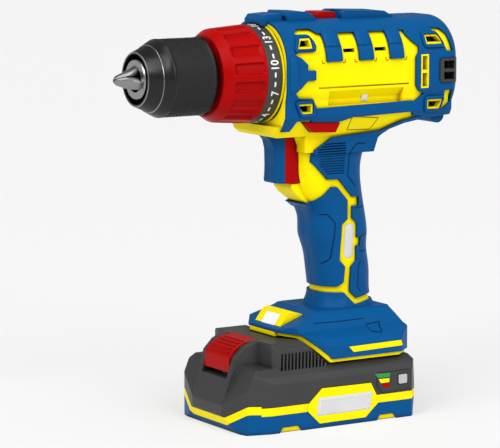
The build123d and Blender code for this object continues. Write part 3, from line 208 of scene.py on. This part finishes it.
def painted_corner_shade(tree, color, hollow):
    """Darkens a colour in inside corners and recesses with painted shade, where nearby walls hide the light."""
    reach = add_node(tree, "ShaderNodeAmbientOcclusion", Distance=SHADE_REACH * MM)
    reach.samples = SHADE_SAMPLES
    multiply = add_node(tree, "ShaderNodeMix", data_type="RGBA", blend_type="MULTIPLY")
    multiply.inputs["Factor"].default_value = 1.0
    gray = add_node(tree, "ShaderNodeCombineColor")
    level = ramp(tree, reach.outputs["AO"], hollow, 1.0, *SHADE_OPEN)
    for channel in ("Red", "Green", "Blue"):
        tree.links.new(level, gray.inputs[channel])
    tree.links.new(color, multiply.inputs["A"])
    tree.links.new(gray.outputs["Color"], multiply.inputs["B"])
    return multiply.outputs["Result"]


def two_tones(tree, dark, light, share):
    """Mixes two colours by a texture value."""
    mix = add_node(tree, "ShaderNodeMix", data_type="RGBA")
    mix.inputs["A"].default_value = (*dark, 1)
    mix.inputs["B"].default_value = (*light, 1)
    tree.links.new(share, mix.inputs["Factor"])
    return mix.outputs["Result"]


def plastic(name, color, roughness, grain=1800.0, bump=0.04, vary=0.04, specular=0.5, edge=0.5, hollow=0.35):
    """Moulded plastic or rubber: spark-eroded grain, faint tone changes, slightly uneven gloss and painted shade
    in corners.
    """
    material, tree, shader = new_material(name)
    dark = [channel * (1 - vary) for channel in color]
    light = [min(1.0, channel * (1 + vary)) for channel in color]
    tone = two_tones(tree, dark, light, ramp(tree, noise(tree, TONE_SCALE, 3.0), 0.0, 1.0))
    # base colour carries painted shade in corners and recesses, down to hollow times the tone
    tree.links.new(painted_corner_shade(tree, tone, hollow), shader.inputs["Base Color"])
    gloss = ramp(tree, noise(tree, GLOSS_SCALE, 4.0), roughness - 0.05, roughness + 0.06)
    tree.links.new(gloss, shader.inputs["Roughness"])
    bumper = add_node(tree, "ShaderNodeBump", Strength=bump, Distance=GRAIN_DEPTH)
    tree.links.new(noise(tree, grain, 3.0), bumper.inputs["Height"])
    if edge:
        tree.links.new(soft_edges(tree, edge), bumper.inputs["Normal"])
    tree.links.new(bumper.outputs["Normal"], shader.inputs["Normal"])
    shader.inputs["Specular IOR Level"].default_value = specular
    return material


def steel(name, color, roughness):
    """Turned or ground metal with fine tool marks, and painted shade in corners and gaps."""
    material, tree, shader = new_material(name)
    shader.inputs["Metallic"].default_value = 1.0
    marks = noise(tree, MARK_SCALE, 4.0, MARK_STRETCH)
    tone = two_tones(tree, [channel * 0.8 for channel in color], color, marks)
    # painted shade in corners and gaps, down to a twentieth of the colour
    tree.links.new(painted_corner_shade(tree, tone, 0.05), shader.inputs["Base Color"])
    tree.links.new(ramp(tree, marks, roughness - 0.06, roughness + 0.1), shader.inputs["Roughness"])
    bumper = add_node(tree, "ShaderNodeBump", Strength=MARK_BUMP, Distance=MARK_DEPTH)
    tree.links.new(marks, bumper.inputs["Height"])
    tree.links.new(bumper.outputs["Normal"], shader.inputs["Normal"])
    return material


def frosted_lens():
    """Milky lamp lens, brighter in the middle of its ripple."""
    material, tree, shader = new_material("clear_lens")
    shader.inputs["Base Color"].default_value = (0.82, 0.84, 0.86, 1)
    tree.links.new(ramp(tree, noise(tree, 120.0, 1.0), 0.2, 0.32), shader.inputs["Roughness"])
    shader.inputs["Specular IOR Level"].default_value = 0.6
    shader.inputs["Emission Color"].default_value = (1.0, 1.0, 0.96, 1)
    tree.links.new(ramp(tree, noise(tree, 260.0, 2.0), 0.06, 0.16), shader.inputs["Emission Strength"])
    return material


METALS = {
    "steel_nose": dict(color=(0.34, 0.34, 0.34), roughness=0.24),
    "steel_jaw": dict(color=(0.3, 0.3, 0.3), roughness=0.28),
    "steel_part": dict(color=(0.5, 0.5, 0.5), roughness=0.4),
    "spring_steel": dict(color=(0.45, 0.45, 0.46), roughness=0.35),
    "copper": dict(color=(0.72, 0.36, 0.2), roughness=0.35),
    "zinc": dict(color=(0.62, 0.63, 0.65), roughness=0.38),
}
# hollow: how dark the painted corner shade gets, as a share of the colour
PLASTICS = {
    "chuck_black": dict(color=(0.006, 0.006, 0.0065), roughness=0.28, grain=2500.0, bump=0.03, specular=0.3,
                        edge=0.0, hollow=0.1),
    "red_plastic": dict(color=(0.36, 0.0, 0.0), roughness=0.34, specular=0.07, hollow=0.12),
    "scale_black": dict(color=(0.028, 0.028, 0.03), roughness=0.5),
    "yellow_plastic": dict(color=(0.93, 0.76, 0.0), roughness=0.42, vary=0.02, specular=0.06, hollow=0.4),
    "blue_rubber": dict(color=(0.0, 0.074, 0.235), roughness=0.42, grain=1400.0, bump=0.07, specular=0.08,
                        edge=1.2, hollow=0.2),
    "grey_plastic": dict(color=(0.036, 0.036, 0.037), roughness=0.4, grain=1500.0, bump=0.06, specular=0.3,
                         edge=1.2, hollow=0.12),
    "black_plastic": dict(color=(0.02, 0.02, 0.021), roughness=0.5),
    "pale_button": dict(color=(0.45, 0.45, 0.45), roughness=0.5),
    "cell_wrap": dict(color=(0.04, 0.24, 0.17), roughness=0.3),
    "board_green": dict(color=(0.015, 0.13, 0.05), roughness=0.35),
    "white_plastic": dict(color=(0.78, 0.78, 0.76), roughness=0.45),
    # Dark colours of the painted shade inside incised lines, pocket recesses and creases
    "groove_blue": dict(color=(0.0, 0.022, 0.075), roughness=0.6, specular=0.1),
    "groove_yellow": dict(color=(0.36, 0.26, 0.0), roughness=0.6, specular=0.1),
    "label_silver": dict(color=(0.6, 0.6, 0.61), roughness=0.4, specular=0.3),
    "gauge_green": dict(color=(0.01, 0.26, 0.05), roughness=0.4),
}
MATERIALS = {"clear_lens": frosted_lens()}
MATERIALS.update({name: steel(name, **values) for name, values in METALS.items()})
MATERIALS.update({name: plastic(name, **values) for name, values in PLASTICS.items()})


def dress_nodes():
    """Gives each CAD node the material of its slot."""
    for entry in frame["record"]["subparts"]:
        mesh = nodes[entry["node"]].data
        mesh.materials.clear()
        mesh.materials.append(MATERIALS[entry["material_slot"]])


# ---------------------------------------------------------------- making pieces
RING_STEPS = 128
OUTSIDE = 0.1              # metres from the middle plane, outside every side wall
MIDDLE_GAP = 0.004         # a point found nearer to the middle plane than this is not on a side wall
BESIDE = 0.03              # where the nearest wall is then looked for
PLATE_GRID = 1.6           # millimetres, as are the next four
PLATE_SINK = 0.5
STROKE_STEP = 0.9
STROKE_LIFT = 0.06
STROKE_SINK = 0.3
RIM_SHARE = 0.25           # share of a plate's height that its bevelled edge starts from
BEND_SHARE = 0.45          # most of a side that a rounded corner takes
ARC_STEPS = 4
ROD_SIDES = 12


def finish_piece(name, bm, body, slot, material=None, sharp=38):
    """Turns mesh data into a piece that rides on a body and is finished like a slot."""
    bmesh.ops.recalc_face_normals(bm, faces=bm.faces[:])
    mesh = bpy.data.meshes.new(name)
    bm.to_mesh(mesh)
    bm.free()
    mesh.polygons.foreach_set("use_smooth", [True] * len(mesh.polygons))
    mesh.set_sharp_from_angle(angle=math.radians(sharp))
    mesh.materials.append(material or MATERIALS[slot])
    piece = show(bpy.data.objects.new(name, mesh))
    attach(piece, body)
    return piece


def ring_mesh(profile, steps):
    """Closed (x, radius) profile in millimetres, turned about the spindle axis."""
    bm = bmesh.new()
    rows = []
    for step in range(steps):
        angle = 2 * math.pi * step / steps
        across, up = MM * math.cos(angle), MM * math.sin(angle)
        rows.append([bm.verts.new((x * MM, radius * across, SPINDLE_Z + radius * up))
                     for x, radius in profile])
    count = len(profile)
    for step in range(steps):
        near, far = rows[step], rows[(step + 1) % steps]
        for index in range(count):
            after = (index + 1) % count
            bm.faces.new((near[index], near[after], far[after], far[index]))
    return bm


def ring(name, profile, body, slot):
    """Turned ring round the spindle axis."""
    return finish_piece(name, ring_mesh(profile, RING_STEPS), body, slot)


def reshape_rows(bm, profile, first, rows, steps, turns, radius_at):
    """Gives a run of a turned mesh's rows the radius radius_at(x, turn), turn going from 0 to turns."""
    bm.verts.ensure_lookup_table()
    for step in range(steps):
        angle = 2 * math.pi * step / steps
        for row in range(first, first + rows):
            x = profile[row][0]
            radius = radius_at(x, step / steps * turns) * MM
            vertex = bm.verts[step * len(profile) + row]
            vertex.co = (x * MM, radius * math.cos(angle), SPINDLE_Z + radius * math.sin(angle))


class Surface:
    """The outside of some CAD nodes, for laying thin pieces on them."""

    def __init__(self, *names):
        points, faces = [], []
        for name in names:
            mesh = nodes[name].data
            first = len(points)
            points += [vertex.co.copy() for vertex in mesh.vertices]
            faces += [tuple(first + index for index in polygon.vertices) for polygon in mesh.polygons]
        self.tree = BVHTree.FromPolygons(points, faces)

    def side_y(self, x, z, side):
        """Distance of the outermost point at (x, z) from the middle plane, in metres."""
        hit = self.tree.ray_cast(Vector((x, side * OUTSIDE, z)), Vector((0, -side, 0)))[0]
        if hit is None or hit.y * side < MIDDLE_GAP:
            hit = self.tree.find_nearest(Vector((x, side * BESIDE, z)))[0]
        return hit.y * side


def edge_distance(x, z, outline):
    """Distance from a point to the nearest edge of an outline, in the outline's units."""
    best = math.inf
    for (x0, z0), (x1, z1) in zip(outline, outline[1:] + outline[:1]):
        dx, dz = x1 - x0, z1 - z0
        along = max(0.0, min(1.0, ((x - x0) * dx + (z - z0) * dz) / (dx * dx + dz * dz)))
        best = min(best, math.hypot(x - x0 - along * dx, z - z0 - along * dz))
    return best


def rounded(points, radius):
    """Outline with its corners cut by short arcs."""
    result = []
    count = len(points)
    for index, point in enumerate(points):
        corner = Vector(point)
        before = Vector(points[index - 1]) - corner
        after = Vector(points[(index + 1) % count]) - corner
        reach = min(radius, before.length * BEND_SHARE, after.length * BEND_SHARE)
        start = corner + before.normalized() * reach
        end = corner + after.normalized() * reach
        for step in range(ARC_STEPS + 1):
            share = step / ARC_STEPS
            mixed = start * (1 - share) ** 2 + corner * 2 * share * (1 - share) + end * share ** 2
            result.append((mixed.x, mixed.y))
    return result


def side_name(name, side, sides):
    """Name of a piece on one side, which says left or right where there is one on each."""
    if len(sides) == 1:
        return name
    return f"{name}_left" if side > 0 else f"{name}_right"


def plate(name, outline, body, slot, surface, lift=0.3, chamfer=0.0, sides=(1, -1), material=None):
    """Side-view outline laid on a surface as a thin closed plate, on each of the given sides."""
    for side in sides:
        bm = bmesh.new()
        face = bm.faces.new([bm.verts.new((x * MM, 0, z * MM)) for x, z in outline])
        if chamfer:
            bmesh.ops.inset_region(bm, faces=[face], thickness=chamfer * MM, use_even_offset=True)
        for axis, direction in ((0, Vector((1, 0, 0))), (1, Vector((0, 0, 1)))):
            low = min(point[axis] for point in outline)
            high = max(point[axis] for point in outline)
            for cut in range(1, int((high - low) / PLATE_GRID) + 1):
                place = direction * ((low + cut * PLATE_GRID) * MM)
                bmesh.ops.bisect_plane(bm, geom=bm.verts[:] + bm.edges[:] + bm.faces[:], plane_co=place,
                                       plane_no=direction)
        bmesh.ops.triangulate(bm, faces=bm.faces[:])
        for vertex in bm.verts:
            ground = surface.side_y(vertex.co.x, vertex.co.z, side)
            rise = lift
            if chamfer:
                away = edge_distance(vertex.co.x / MM, vertex.co.z / MM, outline)
                rise *= RIM_SHARE + (1 - RIM_SHARE) * min(1.0, away / chamfer)
            vertex.co.y = side * (ground + rise * MM)
        grown = bmesh.ops.extrude_face_region(bm, geom=bm.faces[:], use_keep_orig=True)["geom"]
        for vertex in grown:
            if isinstance(vertex, bmesh.types.BMVert):
                ground = surface.side_y(vertex.co.x, vertex.co.z, side)
                vertex.co.y = side * (ground - PLATE_SINK * MM)
        finish_piece(side_name(name, side, sides), bm, body, slot, material)


def stroke(name, path, width, body, slot, surface, lift=STROKE_LIFT, closed=False, sides=(1, -1),
           material=None):
    """Narrow line along a side-view path, laid on a surface."""
    corners = [Vector(point) for point in path]
    if closed:
        corners.append(corners[0])
    places = []
    for start, end in zip(corners, corners[1:]):
        count = max(1, int((end - start).length / STROKE_STEP))
        places += [start.lerp(end, step / count) for step in range(count)]
    if not closed:
        places.append(corners[-1])
    count = len(places)
    for side in sides:
        bm = bmesh.new()
        rows = []
        for index, place in enumerate(places):
            before = places[index - 1] if index or closed else place
            after = places[(index + 1) % count] if index < count - 1 or closed else place
            along = (after - before).normalized()
            across = Vector((-along.y, along.x)) * width / 2
            row = []
            for spot, height in ((place + across, lift), (place - across, lift),
                                 (place - across, -STROKE_SINK), (place + across, -STROKE_SINK)):
                ground = surface.side_y(spot.x * MM, spot.y * MM, side)
                row.append(bm.verts.new((spot.x * MM, side * (ground + height * MM), spot.y * MM)))
            rows.append(row)
        for index in range(count if closed else count - 1):
            near, far = rows[index], rows[(index + 1) % count]
            for corner in range(4):
                after = (corner + 1) % 4
                bm.faces.new((near[corner], near[after], far[after], far[corner]))
        if not closed:
            bm.faces.new(rows[0])
            bm.faces.new(rows[-1])
        finish_piece(side_name(name, side, sides), bm, body, slot, material)


def rod_between(bm, start, end, radius):
    """Adds a capped round bar between two points in millimetres to a mesh."""
    start, end = Vector(start) * MM, Vector(end) * MM
    turn = (end - start).to_track_quat("Z", "Y").to_matrix().to_4x4()
    matrix = Matrix.Translation((start + end) / 2) @ turn
    bmesh.ops.create_cone(bm, cap_ends=True, segments=ROD_SIDES, radius1=radius * MM, radius2=radius * MM,
                          depth=(end - start).length, matrix=matrix)


# ---------------------------------------------------------------- chuck
KNURL_REAR = 63.3
KNURL_FRONT = 88.0
SLEEVE_R = 21.3
KNURL_STEPS = 480
KNURL_ROWS = 92
KNURL_PITCH = 1.3
KNURL_DEPTH = 0.5
KNURL_LEAN = 0.62          # teeth that the pattern turns by for each pitch along the sleeve
KNURL_FADE = 0.8
SLEEVE_INSIDE = [(101.4, 13.6), (87.0, 19.4), (63.3, 19.4), (63.3, 17.2), (61.0, 17.2), (61.0, 19.4),
                 (61.9, 20.3), (62.9, 20.9)]
SLEEVE_NOSE = [(88.5, 21.25), (89.0, 21.0), (94.0, 18.3), (94.1, 17.85), (101.2, 14.9), (101.4, 14.6)]
FRONT_RIM = [(101.1, 14.2), (101.1, 14.9), (101.42, 14.75), (101.48, 14.5), (101.42, 14.2)]
STEP_RIM = [(93.8, 17.9), (93.8, 18.42), (94.05, 18.34), (94.15, 18.0), (94.1, 17.7)]


def tri(value):
    """Triangle wave between 0 and 1."""
    return 1 - abs(2 * (value % 1.0) - 1)


def knurl_radius(x, turn):
    """Outer radius of the knurled part; turn is counted in teeth round the sleeve."""
    slide = (x - KNURL_REAR) / KNURL_PITCH * KNURL_LEAN
    height = min(tri(turn + slide), tri(turn - slide))
    fade = min(1.0, (x - KNURL_REAR) / KNURL_FADE, (KNURL_FRONT - x) / KNURL_FADE)
    return SLEEVE_R - KNURL_DEPTH * (1 - height) * max(0.0, fade)


def add_chuck():
    """Knurled sleeve with polished rims, which stands for the plain sleeve."""
    length = KNURL_FRONT - KNURL_REAR
    knurl = [(KNURL_REAR + length * row / (KNURL_ROWS - 1), SLEEVE_R) for row in range(KNURL_ROWS)]
    profile = SLEEVE_INSIDE + knurl + SLEEVE_NOSE
    teeth = round(2 * math.pi * SLEEVE_R / KNURL_PITCH)
    bm = ring_mesh(profile, KNURL_STEPS)
    reshape_rows(bm, profile, len(SLEEVE_INSIDE), KNURL_ROWS, KNURL_STEPS, teeth, knurl_radius)
    sleeve = finish_piece("knurled_sleeve", bm, "chuck_sleeve", "chuck_black", sharp=60)
    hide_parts("chuck_sleeve")
    ring("sleeve_front_rim", FRONT_RIM, "chuck_sleeve", "steel_nose")
    ring("sleeve_step_rim", STEP_RIM, "chuck_sleeve", "steel_nose")


# ---------------------------------------------------------------- torque collar
COLLAR_REAR = 34.1
COLLAR_FRONT = 59.4
COLLAR_R = 26.9
COLLAR_TAPER = 1.3
TAPER_START = 36.0
TAPER_LENGTH = 18.0
NOSE_SLOPE = 0.62
NOSE_BEND = 1.04
COLLAR_INSIDE = [(COLLAR_FRONT, 20.8), (57.2, 20.6), (57.2, 9.0), (55.2, 9.0), (55.2, 23.4),
                 (COLLAR_REAR, 23.4)]
COLLAR_ROWS = 48
FLUTES = 16
FLUTE_STEPS = 32
FLUTE_DEPTH = 1.4
FLUTE_SPAN = (35.4, 54.2)
FLUTE_SHARE = 0.31         # half of a flute's share of the space between two flutes
FLUTE_WALL = 0.07          # and the share of that space that each of its walls takes
FLUTE_RUNOUT = 1.6


def collar_radius(x, turn):
    """Outer radius of the torque collar; turn is counted in flutes."""
    taper = COLLAR_TAPER * max(0.0, min(1.0, (x - TAPER_START) / TAPER_LENGTH))
    cone = COLLAR_R - taper - NOSE_SLOPE * max(0.0, x - FLUTE_SPAN[1]) ** NOSE_BEND
    across = min(1.0, max(0.0, (FLUTE_SHARE - abs(turn % 1.0 - 0.5)) / FLUTE_WALL))
    along = min(1.0, max(0.0, x - FLUTE_SPAN[0]), max(0.0, (FLUTE_SPAN[1] - x) / FLUTE_RUNOUT))
    return cone - FLUTE_DEPTH * across * along


def add_collar():
    """Fluted torque collar narrowing to the chuck, which stands for the plain collar."""
    length = COLLAR_FRONT - COLLAR_REAR
    outer = [(COLLAR_REAR + length * row / (COLLAR_ROWS - 1), COLLAR_R) for row in range(COLLAR_ROWS)]
    profile = COLLAR_INSIDE + outer
    steps = FLUTE_STEPS * FLUTES
    bm = ring_mesh(profile, steps)
    reshape_rows(bm, profile, len(COLLAR_INSIDE), COLLAR_ROWS, steps, FLUTES, collar_radius)
    collar = finish_piece("fluted_collar", bm, "torque_collar", "red_plastic", sharp=50)
    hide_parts("torque_collar")


# ---------------------------------------------------------------- torque collar scale
UNIT_ANGLE = 11.0          # degrees between two settings
FIRST_ANGLE = 13.5 - 9 * UNIT_ANGLE
SETTINGS = 22
NUMBER_EVERY = 3
SCALE_R = 27.0
SCALE_MID_X = 29.75
DIGIT_HEIGHT = 5.0
EM_HEIGHT = 1.35           # size of the typeface for each unit of digit height
DIGIT_RAISE = 0.06
DIGIT_BOLD = 0.17
DIGIT_SPACING = 1.05
DIGIT_NARROWING = 0.86
DASH = (2.7, 1.15, 0.12)
STOP_RING = [(23.95, 26.3), (23.95, 27.35), (24.2, 27.6), (25.0, 27.6), (25.2, 27.4), (25.2, 26.3)]


def wrap_on_scale(bm, angle):
    """Bends flat marks round the scale ring: local x runs round it, local y runs forwards."""
    for vertex in bm.verts:
        turn = math.radians(angle) + vertex.co.x / (SCALE_R * MM)
        radius = SCALE_R * MM + vertex.co.z
        x = SCALE_MID_X * MM + vertex.co.y
        vertex.co = (x, radius * math.cos(turn), SPINDLE_Z + radius * math.sin(turn))


def number_mesh(text):
    """Flat digits of a plain typeface, as a thin solid."""
    curve = bpy.data.curves.new("digits", "FONT")
    curve.body = text
    curve.align_x = "CENTER"
    curve.align_y = "CENTER"
    curve.size = DIGIT_HEIGHT * EM_HEIGHT * MM
    curve.extrude = DIGIT_RAISE * MM
    curve.offset = DIGIT_BOLD * MM
    curve.space_character = DIGIT_SPACING
    holder = show(bpy.data.objects.new("digits", curve))
    bpy.context.view_layer.update()
    mesh = bpy.data.meshes.new_from_object(holder)
    bpy.data.objects.remove(holder)
    bpy.data.curves.remove(curve)
    bm = bmesh.new()
    bm.from_mesh(mesh)
    bpy.data.meshes.remove(mesh)
    bmesh.ops.remove_doubles(bm, verts=bm.verts[:], dist=0.001 * MM)
    middle = sum((vertex.co for vertex in bm.verts), Vector()) / len(bm.verts)
    for vertex in bm.verts:
        vertex.co.y -= middle.y
        vertex.co.x *= DIGIT_NARROWING
    return bm


def dash_mesh():
    """Flat dash, cut finely enough to bend round the ring."""
    bm = bmesh.new()
    bmesh.ops.create_cube(bm, size=1.0, matrix=Matrix.Diagonal((*[side * MM for side in DASH], 1)))
    bmesh.ops.subdivide_edges(bm, edges=bm.edges[:], cuts=2, use_grid_fill=True)
    return bm


def add_scale():
    """Numbers and dashes of the torque settings, and the ring behind the scale."""
    marks = bmesh.new()
    for index in range(SETTINGS):
        bm = dash_mesh() if index % NUMBER_EVERY else number_mesh(str(index + 1))
        wrap_on_scale(bm, FIRST_ANGLE + index * UNIT_ANGLE)
        mesh = bpy.data.meshes.new("mark")
        bm.to_mesh(mesh)
        bm.free()
        marks.from_mesh(mesh)
        bpy.data.meshes.remove(mesh)
    finish_piece("scale_marks", marks, "torque_collar", "white_plastic")
    ring("collar_stop_ring", STOP_RING, "body", "yellow_plastic")


# ---------------------------------------------------------------- body details
# Dark lines in side view, painted shade of incised lines, pocket recesses and creases, laid just above the
# surface: name, colour, width, whether the path is closed, and the path in millimetres.
LINES = [
    ("grip_line", "blue", 0.7, False,
     [(-8.0, 114.4), (-11.6, 114.4), (-15.9, 109.6), (-14.9, 89.4), (-11.6, 86.0)]),
    ("upper_grip_line", "blue", 0.7, False,
     [(-33.4, 153.4), (-27.9, 153.6), (-23.6, 149.6), (-22.9, 135.8), (-28.8, 129.2)]),
    ("rear_grip_line_1", "blue", 0.6, False, [(-28.9, 117.1), (-37.5, 117.4)]),
    ("rear_grip_line_2", "blue", 0.6, False, [(-32.2, 100.7), (-38.7, 102.0)]),
    ("rear_grip_line_3", "blue", 0.6, False, [(-32.3, 92.6), (-39.8, 92.0)]),
    ("lever_pocket_1", "yellow", 0.6, True, [(-20.2, 169.5), (-38.3, 167.7), (-35.6, 161.2), (-20.3, 161.6)]),
    ("foot_pocket", "blue", 0.6, True, [(-40.3, 53.2), (-30.8, 52.8), (-30.9, 49.6), (-36.6, 48.6)]),
    ("foot_crease", "blue", 0.45, False, [(3.0, 55.9), (-13.2, 55.6), (-30.8, 55.8)]),
    ("lower_grip_line", "blue", 0.6, False, [(-33.3, 87.0), (-31.5, 83.6), (-31.5, 72.4), (-33.4, 69.6)]),
    ("housing_line", "yellow", 0.55, False, [(2.8, 186.7), (-56.4, 186.2)]),
]
LINE_SLOTS = {"blue": "blue_rubber", "yellow": "yellow_plastic"}
STRAPS = [(-1.7, -11.8), (-23.0, -32.4), (-43.4, -52.6)]
STRAP_PAD_Z = (208.6, 217.0)
STRAP_MARK_Z = (199.7, 201.4)
STRAP_MARK = 2.4
BLOCK_LIFT = 0.9
RIM_WIDTH = 1.7
RIM_CORNER = 1.6
SLOT_RIMS = [[(18.4, 207.0), (14.4, 214.6), (5.9, 214.6), (5.9, 207.0)],
             [(17.9, 179.3), (6.1, 179.3), (6.1, 171.6), (14.6, 171.6)],
             [(-66.9, 206.4), (-80.4, 206.4), (-77.4, 213.7), (-66.9, 213.7)],
             [(-67.5, 177.7), (-80.4, 177.7), (-77.4, 170.1), (-67.5, 170.1)]]
RING_BLOCK = [(22.4, 204.2), (17.4, 203.8), (16.6, 199.6), (16.6, 188.0), (17.2, 184.6), (22.4, 183.8)]
GRIP_BADGE = [(-22.9, 108.4), (-28.6, 108.6), (-28.9, 89.0), (-22.8, 88.8)]
FOOT_STRIPE = [(-12.2, 43.4), (-15.2, 40.2), (-48.6, 40.8), (-47.0, 43.9)]
SIDE_INDICATOR = [(-27.7, 181.2), (-32.0, 181.2), (-32.0, 177.3), (-27.7, 177.3)]


def add_straps(skin):
    """Blue pads at the tops of the yellow straps, and dark marks of painted shade at the straps' lower corners."""
    low, high = STRAP_PAD_Z
    foot, top = STRAP_MARK_Z
    for number, (front, rear) in enumerate(STRAPS):
        pad = [(front - 0.2, high), (front - 0.2, low), (rear + 0.2, low), (rear + 0.2, high)]
        plate(f"strap_pad_{number + 1}", pad, "body", "blue_rubber", skin, lift=BLOCK_LIFT, chamfer=0.7)
        # dark L marks at the strap corners: painted shade
        for end, corner, inner in (("front", front, STRAP_MARK), ("rear", rear, -STRAP_MARK)):
            path = [(corner + inner * 0.25, foot), (corner + inner, foot), (corner + inner, top)]
            stroke(f"strap_corner_{number + 1}_{end}", path, 0.7, "body", "yellow_plastic", skin,
                   material=MATERIALS["groove_yellow"])


def add_body_details():
    """Dark lines of painted shade for the incised lines and pockets, strap pads, slot rims, the block behind the
    collar, and the badge and stripe below.
    """
    skin = Surface("armour_left", "armour_right", "grip_left", "grip_right", "foot_cover_left",
                   "foot_cover_right", "housing_left", "housing_right")
    # dark lines: painted shade of incised lines, pockets and creases
    for name, colour, width, closed, path in LINES:
        stroke(name, path, width, "body", LINE_SLOTS[colour], skin, closed=closed,
               material=MATERIALS[f"groove_{colour}"])
    add_straps(skin)
    for number, path in enumerate(SLOT_RIMS):
        stroke(f"slot_rim_{number + 1}", rounded(path, RIM_CORNER), RIM_WIDTH, "body", "blue_rubber", skin,
               lift=BLOCK_LIFT, closed=True)
    plate("ring_block", RING_BLOCK, "body", "blue_rubber", skin, lift=BLOCK_LIFT, chamfer=1.0)
    plate("grip_badge", rounded(GRIP_BADGE, 2.6), "body", "white_plastic", skin, lift=0.35, chamfer=0.4,
          material=MATERIALS["label_silver"])
    plate("foot_stripe", FOOT_STRIPE, "body", "yellow_plastic", skin, lift=0.25)


def add_side_indicator():
    """Small white indicator in the side recess."""
    surface = Surface("housing_left", "housing_right")
    plate("side_indicator", rounded(SIDE_INDICATOR, 0.9), "body", "white_plastic", surface, lift=0.8,
          chamfer=0.4)


# ---------------------------------------------------------------- battery details
LABEL = [(8.4, 16.9), (-27.4, 17.0), (-25.8, 7.2), (9.4, 7.0)]
LABEL_FRAME = [(7.0, 15.7), (-26.0, 15.8), (-24.7, 8.4), (7.8, 8.2)]
GAUGE = [
    ("gauge_high", "board_green", "gauge_green",
     [(-28.8, 26.6), (-39.2, 26.2), (-38.9, 23.8), (-31.0, 24.0)]),
    ("gauge_middle", "yellow_plastic", "yellow_plastic",
     [(-31.3, 23.4), (-38.7, 23.2), (-38.5, 21.0), (-32.9, 20.9)]),
    ("gauge_low", "red_plastic", "red_plastic", [(-33.4, 20.5), (-38.6, 20.4), (-38.6, 18.2), (-35.3, 18.0)]),
]
NOTCHES = [(33.8, 18.2), (-30.0, -44.4)]
NOTCH_TOP = 3.0
NOTCH_Y = (35.2, 36.5)
LATCH_RIBS = [(48.9, 41.6), (47.2, 43.7), (44.9, 45.0), (42.5, 46.3), (39.9, 47.2)]
RIB_HALF = 9.5
RIB_R = 0.55


def add_battery_details():
    """Blank label and its frame, and the three bars of the charge gauge, all on the left side."""
    surface = Surface("battery_shell", "battery_tray", "battery_band", "gauge_panel")
    plate("label_plate", rounded(LABEL, 0.9), "battery", "white_plastic", surface, lift=0.25, chamfer=0.3,
          sides=(1,), material=MATERIALS["label_silver"])
    stroke("label_frame", rounded(LABEL_FRAME, 0.7), 0.5, "battery", "white_plastic", surface, lift=0.32,
           closed=True, sides=(1,))
    for name, slot, material, outline in GAUGE:
        plate(name, outline, "battery", slot, surface, lift=0.15, sides=(1,), material=MATERIALS[material])


def add_notch_inserts():
    """Yellow inserts in the hand notches along the tray's lower edge."""
    bm = bmesh.new()
    for front, rear in NOTCHES:
        outline = [(front - 0.8, 0.5), (front - 2.9, NOTCH_TOP), (rear + 2.9, NOTCH_TOP), (rear + 0.8, 0.5)]
        for side in (1, -1):
            inner, outer = [[bm.verts.new((x * MM, side * y * MM, z * MM)) for x, z in outline]
                            for y in NOTCH_Y]
            bm.faces.new(inner)
            bm.faces.new(outer)
            for index in range(4):
                after = (index + 1) % 4
                bm.faces.new((inner[index], inner[after], outer[after], outer[index]))
    finish_piece("notch_inserts", bm, "battery", "yellow_plastic")


def add_latch_ribs():
    """Finger ribs across the latch button."""
    bm = bmesh.new()
    for x, z in LATCH_RIBS:
        rod_between(bm, (x, -RIB_HALF, z), (x, RIB_HALF, z), RIB_R)
    finish_piece("latch_ribs", bm, "latch_button", "red_plastic")


dress_nodes()
add_camera()
add_floor()
add_lights()
add_chuck()
add_collar()
add_scale()
add_body_details()
add_side_indicator()
add_battery_details()
add_notch_inserts()
add_latch_ribs()
